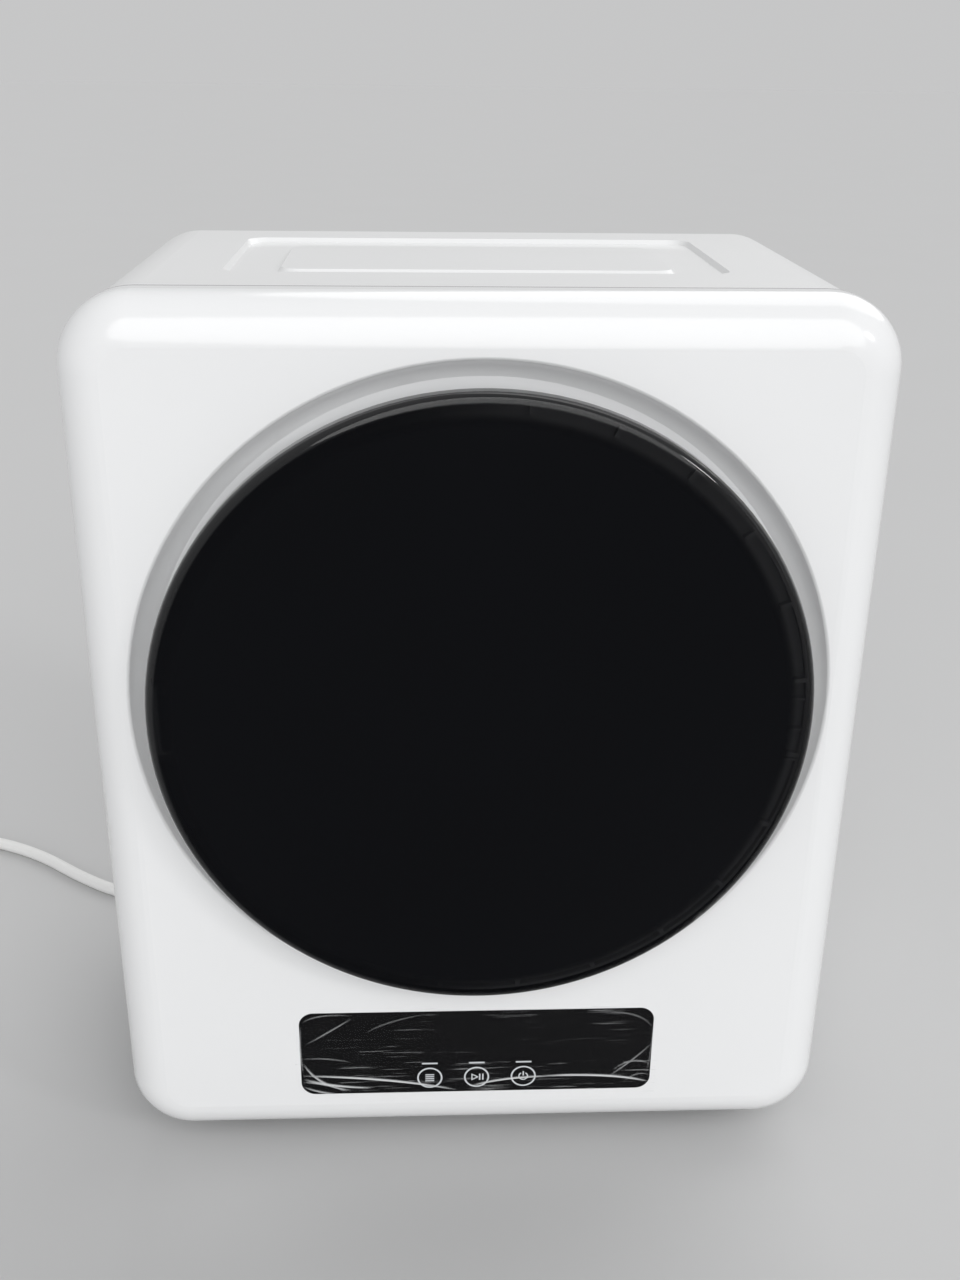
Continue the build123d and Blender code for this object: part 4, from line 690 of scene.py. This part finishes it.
@dataclass
class KeyStrip:
    """The black strip: its three ringed touch keys, indicator slits and the film left on it.

    Each fold of the film is a curve from start to end, bent towards a middle place, all in millimetres from
    the middle of the strip's lower edge, and then its height as a share of the crease height.
    """

    key_pitch: float = 33.0 * MM
    key_height: float = 71.0 * MM
    ring_outer: float = 8.9 * MM
    ring_line: float = 1.15 * MM
    print_thick: float = 0.03 * MM
    slit: Span = (11.0 * MM, 1.3 * MM)
    slit_rise: float = 12.6 * MM
    list_rows: int = 4
    list_row: Span = (6.2 * MM, 0.95 * MM)
    list_pitch: float = 1.75 * MM
    mark_radius: float = 3.5 * MM
    play_line: float = 0.8 * MM
    play_shift: float = -1.9 * MM
    pause_bar: Span = (1.0 * MM, 5.4 * MM)
    pause_places: Span = (2.2 * MM, 4.4 * MM)
    power_line: float = 0.95 * MM
    power_gap: float = 1.5
    power_bar: Span = (1.0 * MM, 3.8 * MM)
    power_bar_rise: float = 2.3 * MM
    film_cells: tuple[int, int] = (360, 112)
    film_inset: float = 0.05 * MM
    crease: str = "crease"
    crease_height: float = 1.3 * MM
    crease_width: float = 0.95 * MM
    crease_steps: int = 32
    crease_taper: float = 0.35
    print_colour: Colour = (0.62, 0.64, 0.66)
    folds: tuple = field(
        default=(
            ((-121.0, 16.5), (-60.0, 14.0), (-15.0, 2.0), 1.0),
            ((-4.0, 5.0), (20.0, 13.0), (52.0, 12.2), 0.9),
            ((44.0, 12.4), (95.0, 15.0), (122.0, 6.0), 1.0),
            ((-121.0, 27.0), (-112.0, 7.0), (-88.0, 3.0), 0.8),
            ((-121.0, 13.5), (-100.0, 6.0), (-73.0, 5.0), 0.9),
            ((-122.0, 7.0), (-110.0, 1.0), (-99.0, 0.5), 0.7),
            ((-124.0, 31.0), (-104.0, 33.0), (-86.0, 27.0), 0.45),
            ((-78.0, 52.0), (-66.0, 63.0), (-30.0, 69.0), 0.4),
            ((-120.0, 43.0), (-100.0, 56.0), (-86.0, 66.0), 0.5),
            ((-122.0, 11.0), (-104.0, 10.0), (-92.0, 2.0), 0.75),
            ((96.0, 16.0), (110.0, 31.0), (124.0, 20.0), 0.5),
            ((91.0, 9.0), (110.0, 24.0), (123.0, 40.0), 0.5),
            ((104.0, 5.0), (113.0, 17.0), (124.0, 11.0), 0.45),
            ((36.0, 40.0), (70.0, 47.0), (108.0, 44.0), 0.25),
            ((72.0, 66.5), (116.0, 71.0), (122.5, 52.0), 0.45),
            ((122.0, 58.0), (124.0, 34.0), (120.0, 12.0), 0.4),
            ((-122.0, 60.0), (-124.0, 40.0), (-121.5, 18.0), 0.55),
            ((-121.0, 62.0), (-112.0, 71.0), (-84.0, 67.5), 0.45),
            ((-40.0, 30.0), (20.0, 36.0), (70.0, 31.0), 0.2),
        )
    )

    def build(self) -> None:
        """Makes and dresses the strip's pieces."""
        strip = Moulding("polished_black", (0.003, 0.003, 0.0035), 0.05, variation=0.1, specular=0.11)
        dress("control_panel", strip.material())
        ink = Moulding("printed_grey", self.print_colour, 0.4).material()
        left, right = -self.key_pitch, self.key_pitch
        slit_height = self.key_height + self.slit_rise
        for number, x in enumerate((left, 0.0, right), start=1):
            ring = outline(64, self.ring_outer, self.ring_line)
            self.print_mark(ring, x, self.key_height, f"key_ring_{number}", ink)
            self.print_mark(bars([(0.0, 0.0, *self.slit)]), x, slit_height, f"key_slit_{number}", ink)
        self.print_mark(self.list_mark(), left, self.key_height, "key_mark_list", ink)
        self.print_mark(self.play_mark(), 0.0, self.key_height, "key_mark_play", ink)
        self.print_mark(self.power_mark(), right, self.key_height, "key_mark_power", ink)
        self.film()

    def print_mark(
        self, piece: bpy.types.Object, x: float, z: float, name: str, ink: bpy.types.Material
    ) -> None:
        """Turns a flat mark to the front, gives it the ink's thickness and puts it on the strip.

        Args:
            piece: a mark drawn in its own XY plane.
            x: its place along the width.
            z: its height.
            name: its name.
            ink: its material.
        """
        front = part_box("control_panel")[0].y
        piece.rotation_euler = (math.pi / 2, 0.0, 0.0)
        piece.location = (x, front - self.print_thick / 2, z)
        solidify = piece.modifiers.new("ink", "SOLIDIFY")
        solidify.thickness = self.print_thick
        solidify.offset = 0.0
        settle(piece, name)
        piece.data.materials.append(ink)
        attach(piece, "cabinet")
        LOG.info("made %s", piece.name)

    def list_mark(self) -> bpy.types.Object:
        """Rows of a list, for choosing a programme."""
        lowest = -(self.list_rows - 1) / 2 * self.list_pitch
        return bars([(0.0, lowest + k * self.list_pitch, *self.list_row) for k in range(self.list_rows)])

    def play_mark(self) -> bpy.types.Object:
        """A triangle's outline beside two bars, for start and pause."""
        triangle = outline(3, self.mark_radius, self.play_line)
        triangle.rotation_euler = (0.0, 0.0, -math.pi / 2)
        triangle.location = (self.play_shift, 0.0, 0.0)
        pause = bars([(x, 0.0, *self.pause_bar) for x in self.pause_places])
        return joined(applied(triangle), pause)

    def power_mark(self) -> bpy.types.Object:
        """An open ring with a bar in its gap, for the power key."""
        arc = outline(48, self.mark_radius, self.power_line)
        mesh = bmesh.new()
        mesh.from_mesh(arc.data)
        middles = {face: face.calc_center_median() for face in mesh.faces}
        gap = [face for face, middle in middles.items() if middle.y > abs(middle.x) * self.power_gap]
        bmesh.ops.delete(mesh, geom=gap, context="FACES")
        mesh.to_mesh(arc.data)
        mesh.free()
        return joined(arc, bars([(0.0, self.power_bar_rise, *self.power_bar)]))

    def film(self) -> None:
        """The loose film: a sheet raised in soft creases."""
        low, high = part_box("protective_film")
        clear_selection()
        across, up = self.film_cells
        bpy.ops.mesh.primitive_grid_add(x_subdivisions=across, y_subdivisions=up, size=1.0)
        sheet = bpy.context.object
        sheet.scale = (high.x - low.x, high.z - low.z, 1.0)
        sheet.rotation_euler = (math.pi / 2, 0.0, 0.0)
        sheet.location = ((low.x + high.x) / 2, high.y - self.film_inset, (low.z + high.z) / 2)
        settle(sheet, "film_on_keys")
        self.crumple(sheet)
        bpy.ops.object.shade_smooth()
        sheet.data.materials.append(CreasedFilm("creased_film", self.crease).material())
        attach(sheet, "cabinet")
        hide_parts("protective_film")
        LOG.info("made %s", sheet.name)

    def crumple(self, sheet: bpy.types.Object) -> None:
        """Raises the film along its folds and keeps how far in an attribute.

        Args:
            sheet: the film as a flat grid, facing the front.
        """
        panel_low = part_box("control_panel")[0].z
        count = len(sheet.data.vertices)
        places = np.zeros(count * 3)
        sheet.data.vertices.foreach_get("co", places)
        places = places.reshape(-1, 3)
        flat = places[:, (0, 2)] - np.array((0.0, panel_low))
        rise = np.zeros(count)
        for start, middle, end, weight in self.folds:
            share = np.linspace(0.0, 1.0, self.crease_steps + 1)[:, None]
            a, b, c = (np.array(p) * MM for p in (start, middle, end))
            line = a * (1 - share) ** 2 + 2 * b * share * (1 - share) + c * share**2
            nearest = np.full(count, np.inf)
            along = np.zeros(count)
            for k, (near_end, far_end) in enumerate(zip(line, line[1:])):
                step = far_end - near_end
                part = np.clip((flat - near_end) @ step / (step @ step), 0.0, 1.0)
                distance = np.linalg.norm(flat - near_end - part[:, None] * step, axis=1)
                closer = distance < nearest
                nearest[closer] = distance[closer]
                along[closer] = (k + part[closer]) / self.crease_steps
            taper = np.sin(np.pi * np.clip(along, 0.02, 0.98)) ** self.crease_taper
            rise = np.maximum(rise, weight * taper * np.exp(-((nearest / self.crease_width) ** 2)))
        places[:, 1] -= rise * self.crease_height
        sheet.data.vertices.foreach_set("co", places.ravel())
        attribute = sheet.data.attributes.new(self.crease, "FLOAT", "POINT")
        attribute.data.foreach_set("value", rise.astype(np.float32))
        sheet.data.update()


@dataclass
class MainsLead:
    """The white lead: from the strain relief to the floor, away to its coil, and its plug."""

    diameter: float = 11.0 * MM
    length: float = 1.727
    coil_middle: Span = (-545.0 * MM, 196.0 * MM)
    coil_radius: float = 68.0 * MM
    coil_pitch: float = 11.8 * MM
    coil_lift: float = 1.5 * MM
    climb_dip: float = 3.0 * MM
    inward_turns: float = 1.5
    climb_turns: float = 0.5
    all_turns: float = 3.25
    points_each_turn: int = 24
    tail: float = 68.0 * MM
    route: tuple = field(
        default=(
            (-150.0, 171.1, 108.0), (-150.0, 171.1, 66.0), (-172.0, 171.1, 28.0), (-210.0, 168.0, 5.5),
            (-250.0, 158.0, 5.5), (-288.0, 152.0, 5.5), (-326.0, 165.0, 5.5), (-366.0, 192.0, 5.5),
            (-408.0, 228.0, 5.5), (-456.0, 254.0, 5.5), (-504.0, 264.0, 7.0), (-534.0, 264.0, 7.0),
        )
    )

    def coil_place(self, turn: float) -> Vector:
        """Place on the coil after so many radians: in on the lower layer, up, and out again."""
        inward, climb = 2 * math.pi * self.inward_turns, 2 * math.pi * self.climb_turns
        step = self.coil_pitch / (2 * math.pi)
        inner = self.coil_radius - step * inward
        if turn < inward:
            radius, rise = self.coil_radius - step * turn, 0.0
        elif turn < inward + climb:
            share = (turn - inward) / climb
            radius = inner - self.climb_dip * math.sin(math.pi * share) ** 2
            rise = self.coil_pitch * (3 * share**2 - 2 * share**3)
        else:
            radius, rise = inner + step * (turn - inward - climb), self.coil_pitch
        angle = math.pi / 2 + turn
        x, y = self.coil_middle
        low = self.diameter / 2 + self.coil_lift
        return Vector((x + radius * math.cos(angle), y + radius * math.sin(angle), low + rise))

    def build(self) -> None:
        """Makes the lead as one smooth curve and dresses what is on it."""
        step = 2 * math.pi / self.points_each_turn
        count = round(self.all_turns * self.points_each_turn)
        turns = [self.coil_place(k * step) for k in range(count + 1)]
        end = turns[-1] + Vector((0.0, -self.tail, 0.0))
        points = [Vector(p) * MM for p in self.route] + turns + [turns[-1].lerp(end, 0.5), end]
        curve = bpy.data.curves.new("mains_lead", "CURVE")
        curve.dimensions = "3D"
        curve.bevel_depth = self.diameter / 2
        curve.bevel_resolution = 5
        curve.resolution_u = 6
        curve.use_fill_caps = True
        spline = curve.splines.new("NURBS")
        spline.points.add(len(points) - 1)
        for knot, place in zip(spline.points, points):
            knot.co = (*place, 1.0)
        spline.order_u = 3
        spline.use_endpoint_u = True
        lead = bpy.data.objects.new("mains_lead", curve)
        bpy.context.scene.collection.objects.link(lead)
        jacket = Moulding("cord_jacket", (0.82, 0.82, 0.81), 0.42, skin_scale=1500.0, dust=0.08)
        white = jacket.material()
        curve.materials.append(white)
        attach(lead, "cabinet")
        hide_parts("power_cord", "cord_coil")
        for node in ("strain_relief", "mains_plug"):
            dress(node, white)
        dress("plug_pins", Brushed("pin_brass", (0.72, 0.6, 0.36), 0.25, Axis.DEPTH).material())
        dress("cord_tie", Moulding("tie_black", (0.02, 0.02, 0.02), 0.5).material())
        LOG.info("made %s", lead.name)


@dataclass
class Cabinet:
    """The white moulding, the painted sheet and what closes the back and the floor."""

    white: Colour = (0.86, 0.865, 0.87)
    enamel: Colour = (0.84, 0.845, 0.845)
    # Painted shadow along the gap at the front moulding's back edge, and a painted highlight along the
    # sheet's front edge beside it.
    shadow_gap_width: float = 3.2 * MM
    painted_gap_shadow: float = 0.35
    highlight_edge_width: float = 5.5 * MM
    painted_edge_highlight: float = 1.12

    def build(self) -> None:
        """Dresses the cabinet's nodes."""
        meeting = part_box("front_panel")[1].y
        # The front moulding gets the painted gap shadow, the painted sheet the painted edge highlight.
        front = Moulding(
            "glossy_white", self.white, 0.16, coat=0.5, skin_depth=0.000002,
            painted_seam_shading=PaintedSeamShading(meeting, self.shadow_gap_width, self.painted_gap_shadow),
        )
        dress("front_panel", front.material())
        sheet = Moulding(
            "white_enamel", self.enamel, 0.26, coat=0.3, skin_scale=420.0, skin_depth=0.00001,
            painted_seam_shading=PaintedSeamShading(meeting, self.highlight_edge_width, self.painted_edge_highlight),
        )
        painted = sheet.material()
        dress("cabinet_wrap", painted)
        dress("rear_panel", painted)
        dress("rear_cover", Moulding("satin_white", (0.74, 0.74, 0.73), 0.42, skin_depth=0.00002).material())
        zinc = Spangled("zinc_sheet", (0.6, 0.61, 0.62)).material()
        for node in ("base_pan", "front_bulkhead", "motor_bracket", "heater_duct"):
            dress(node, zinc)
        dress("feet", Moulding("foot_rubber", (0.025, 0.025, 0.025), 0.75, skin_depth=0.00004).material())
        bright = Brushed("bright_steel", (0.6, 0.61, 0.62), 0.28).material()
        for node in ("case_screws", "foot_screws", "door_screws", "idler_pin", "idler_arm", "idler_spring"):
            dress(node, bright)
        dress("control_housing", Moulding("housing_white", (0.7, 0.7, 0.69), 0.5).material())
        dress("control_board", CircuitBoard("circuit_board").material())
        dress("terminal_block", Moulding("terminal_white", (0.66, 0.66, 0.62), 0.5).material())


@dataclass
class Door:
    """The tinted dome, the parts that it hides, its hinge and its latch."""

    clip_inner: float = 186.0 * MM
    clip_outer: float = 203.5 * MM

    def build(self) -> None:
        """Dresses the door's nodes and what it closes on."""
        dome = TintedDome("tinted_dome", middle_of("door_cover"), self.clip_inner, self.clip_outer)
        dress("door_cover", dome.material())
        dress("door_ring", Moulding("ring_grey", (0.3, 0.3, 0.31), 0.4).material())
        white = Moulding("door_white", (0.76, 0.765, 0.77), 0.3).material()
        dress("door_inner", white)
        dress("door_window", Clear("window_clear", (0.75, 0.8, 0.82), 0.22).material())
        dress("door_seal", Moulding("seal_grey", (0.12, 0.12, 0.125), 0.7, skin_depth=0.00003).material())
        hinge = Brushed("hinge_steel", (0.55, 0.56, 0.57), 0.3, Axis.HEIGHT).material()
        for node in ("hinge_bracket", "hinge_leaf", "hinge_pin"):
            dress(node, hinge)
        latch = Moulding("latch_white", (0.7, 0.7, 0.68), 0.45).material()
        for node in ("latch_hook", "latch_catch", "switch_plunger"):
            dress(node, latch)
        dress("door_switch", Moulding("switch_black", (0.03, 0.03, 0.03), 0.5).material())


@dataclass
class Drum:
    """The stainless drum with its paddles, felts and bearing."""

    def build(self) -> None:
        """Dresses the drum's nodes."""
        centre = middle_of("drum_shell")
        steel = Turned("drum_steel", (0.68, 0.69, 0.7), 0.22, centre).material()
        for node in ("drum_shell", "drum_back"):
            dress(node, steel)
        dress("drum_lifters", Moulding("paddle_grey", (0.5, 0.51, 0.52), 0.45).material())
        felt = Felt("wool_felt", (0.42, 0.4, 0.37)).material()
        for node in ("drum_felt", "rear_felt"):
            dress(node, felt)
        dress("drum_shaft", Turned("shaft_steel", (0.55, 0.55, 0.56), 0.2, centre).material())
        dress("bearing_housing", Moulding("cast_grey", (0.4, 0.4, 0.41), 0.5, skin_depth=0.00006).material())
        dress("bearing_bush", Turned("oiled_bush", (0.45, 0.33, 0.2), 0.35, centre).material())


@dataclass
class Drive:
    """Motor, belt and idler."""

    def build(self) -> None:
        """Dresses the drive's nodes."""
        dress("motor_body", Moulding("motor_grey", (0.13, 0.135, 0.14), 0.45, skin_depth=0.00003).material())
        dress("drive_belt", Moulding("belt_rubber", (0.02, 0.02, 0.02), 0.7, skin_depth=0.00004).material())
        turned = Turned("turned_steel", (0.6, 0.6, 0.61), 0.22, middle_of("motor_shaft")).material()
        for node in ("motor_shaft", "motor_pulley"):
            dress(node, turned)
        dress("idler_pulley", Moulding("idler_black", (0.03, 0.03, 0.03), 0.5).material())


@dataclass
class AirPath:
    """Filter, ducts, blower, heater and hose outlet."""

    def build(self) -> None:
        """Dresses the air path's nodes."""
        grey = Moulding("duct_grey", (0.32, 0.33, 0.34), 0.5, skin_depth=0.00003).material()
        for node in ("blower_housing", "blower_wheel", "lint_duct"):
            dress(node, grey)
        dress("exhaust_spigot", Moulding("outlet_grey", (0.5, 0.51, 0.52), 0.45).material())
        dress("exhaust_pipe", Brushed("pipe_metal", (0.62, 0.63, 0.64), 0.35, Axis.DEPTH).material())
        dress("lint_frame", Moulding("filter_grey", (0.3, 0.31, 0.33), 0.45).material())
        dress("lint_mesh", Knit("filter_mesh", (0.7, 0.71, 0.71)).material())
        dress("heater_element", Brushed("fin_metal", (0.6, 0.6, 0.6), 0.4, Axis.HEIGHT).material())
        dress("thermostats", Moulding("cut_out_black", (0.03, 0.03, 0.03), 0.5).material())


def seen_directly(tree: bpy.types.NodeTree) -> bpy.types.NodeSocket:
    """1 for what the camera sees, also in gloss and through clear parts, and 0 for soft light.

    Args:
        tree: the nodes of the floor or of the world.

    Returns:
        The socket that holds it.
    """
    path = tree.nodes.new("ShaderNodeLightPath")
    seen = path.outputs["Is Camera Ray"]
    for kind in ("Is Glossy Ray", "Is Transmission Ray"):
        either = tree.nodes.new("ShaderNodeMath")
        either.operation = "MAXIMUM"
        tree.links.new(seen, either.inputs[0])
        tree.links.new(path.outputs[kind], either.inputs[1])
        seen = either.outputs[0]
    return seen


@dataclass(frozen=True)
class Lamp:
    """An even soft light: the way it comes from, its strength on what faces it, and its spread in degrees."""

    name: str
    source: Point
    strength: float
    spread: float

    def hang(self) -> None:
        """Adds the light to the scene."""
        data = bpy.data.lights.new(self.name, "SUN")
        data.energy = self.strength
        data.angle = math.radians(self.spread)
        lamp = bpy.data.objects.new(self.name, data)
        lamp.rotation_euler = Vector(self.source).to_track_quat("Z", "Y").to_euler()
        bpy.context.scene.collection.objects.link(lamp)


@dataclass
class Studio:
    """Pale floor, soft light and the camera at the photograph's angle."""

    camera_place: Point = (-38.6 * MM, -945.4 * MM, 738.4 * MM)
    yaw: float = 0.048
    pitch: float = -0.406
    roll: float = 0.013
    focal_pixels: float = 1376.6
    long_side_pixels: float = 1280.0
    sensor: float = 36.0
    clip_start: float = 20.0 * MM
    floor_size: float = 60.0
    floor_colour: Colour = (0.6, 0.6, 0.6)
    floor_shades: Span = (1.0, 0.985)
    horizon: Colour = (0.566, 0.567, 0.57)
    daylight: Colour = (0.44, 0.442, 0.447)
    lamps: tuple[Lamp, ...] = (
        Lamp("front_light", (0.12, -0.85, 0.5), 1.6, 64.0),
        Lamp("back_light", (0.4, 0.6, 0.7), 0.95, 60.0),
        Lamp("window_light", (0.77, -0.57, 0.45), 0.3, 9.0),
    )

    def build(self) -> None:
        """Makes the floor, the world, the lights and the camera."""
        self.floor()
        self.world()
        for lamp in self.lamps:
            lamp.hang()
        self.camera()
        bpy.context.scene.view_settings.view_transform = "Standard"

    def floor(self) -> None:
        """A large pale floor."""
        clear_selection()
        bpy.ops.mesh.primitive_plane_add(size=self.floor_size)
        floor = bpy.context.object
        floor.name = "studio_floor"
        graph = Graph("studio_pale")
        shown = graph.toned(graph.noise(3.0), self.floor_colour, self.floor_shades)
        graph.set(Base_Color=graph.mixed(seen_directly(graph.tree), self.floor_colour, shown))
        graph.set(Roughness=0.8, Specular_IOR_Level=0.0)
        floor.data.materials.append(graph.material)

    def world(self) -> None:
        """Even pale surroundings, which meet the floor's own tone at the horizon."""
        world = bpy.data.worlds.new("studio_world")
        world.use_nodes = True
        nodes, links = world.node_tree.nodes, world.node_tree.links
        mix = nodes.new("ShaderNodeMix")
        mix.data_type = "RGBA"
        mix.inputs[6].default_value = (*self.daylight, 1.0)
        mix.inputs[7].default_value = (*self.horizon, 1.0)
        links.new(seen_directly(world.node_tree), mix.inputs["Factor"])
        links.new(mix.outputs[2], nodes["Background"].inputs["Color"])
        bpy.context.scene.world = world

    def camera(self) -> None:
        """The camera, placed as it was fitted to the photograph's edges."""
        data = bpy.data.cameras.new("photo_camera")
        data.sensor_width = self.sensor
        data.lens = self.focal_pixels / self.long_side_pixels * self.sensor
        data.clip_start = self.clip_start
        camera = bpy.data.objects.new("photo_camera", data)
        bpy.context.scene.collection.objects.link(camera)
        ahead = Vector((
            math.sin(self.yaw) * math.cos(self.pitch),
            math.cos(self.yaw) * math.cos(self.pitch),
            math.sin(self.pitch),
        ))
        level = Vector((math.cos(self.yaw), -math.sin(self.yaw), 0.0))
        above = level.cross(ahead)
        right = level * math.cos(self.roll) + above * math.sin(self.roll)
        up = above * math.cos(self.roll) - level * math.sin(self.roll)
        turn = Matrix((right, up, -ahead)).transposed().to_4x4()
        camera.matrix_world = Matrix.Translation(self.camera_place) @ turn
        bpy.context.scene.camera = camera


def main() -> None:
    """Builds the dryer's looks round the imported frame."""
    logging.basicConfig(level=logging.INFO, format="%(name)s: %(message)s")
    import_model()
    for part in (Studio(), MainsLead(), Cabinet(), Door(), KeyStrip(), Drum(), Drive(), AirPath()):
        part.build()
        LOG.info("finished %s", type(part).__name__)


if __name__ == "__main__":
    main()
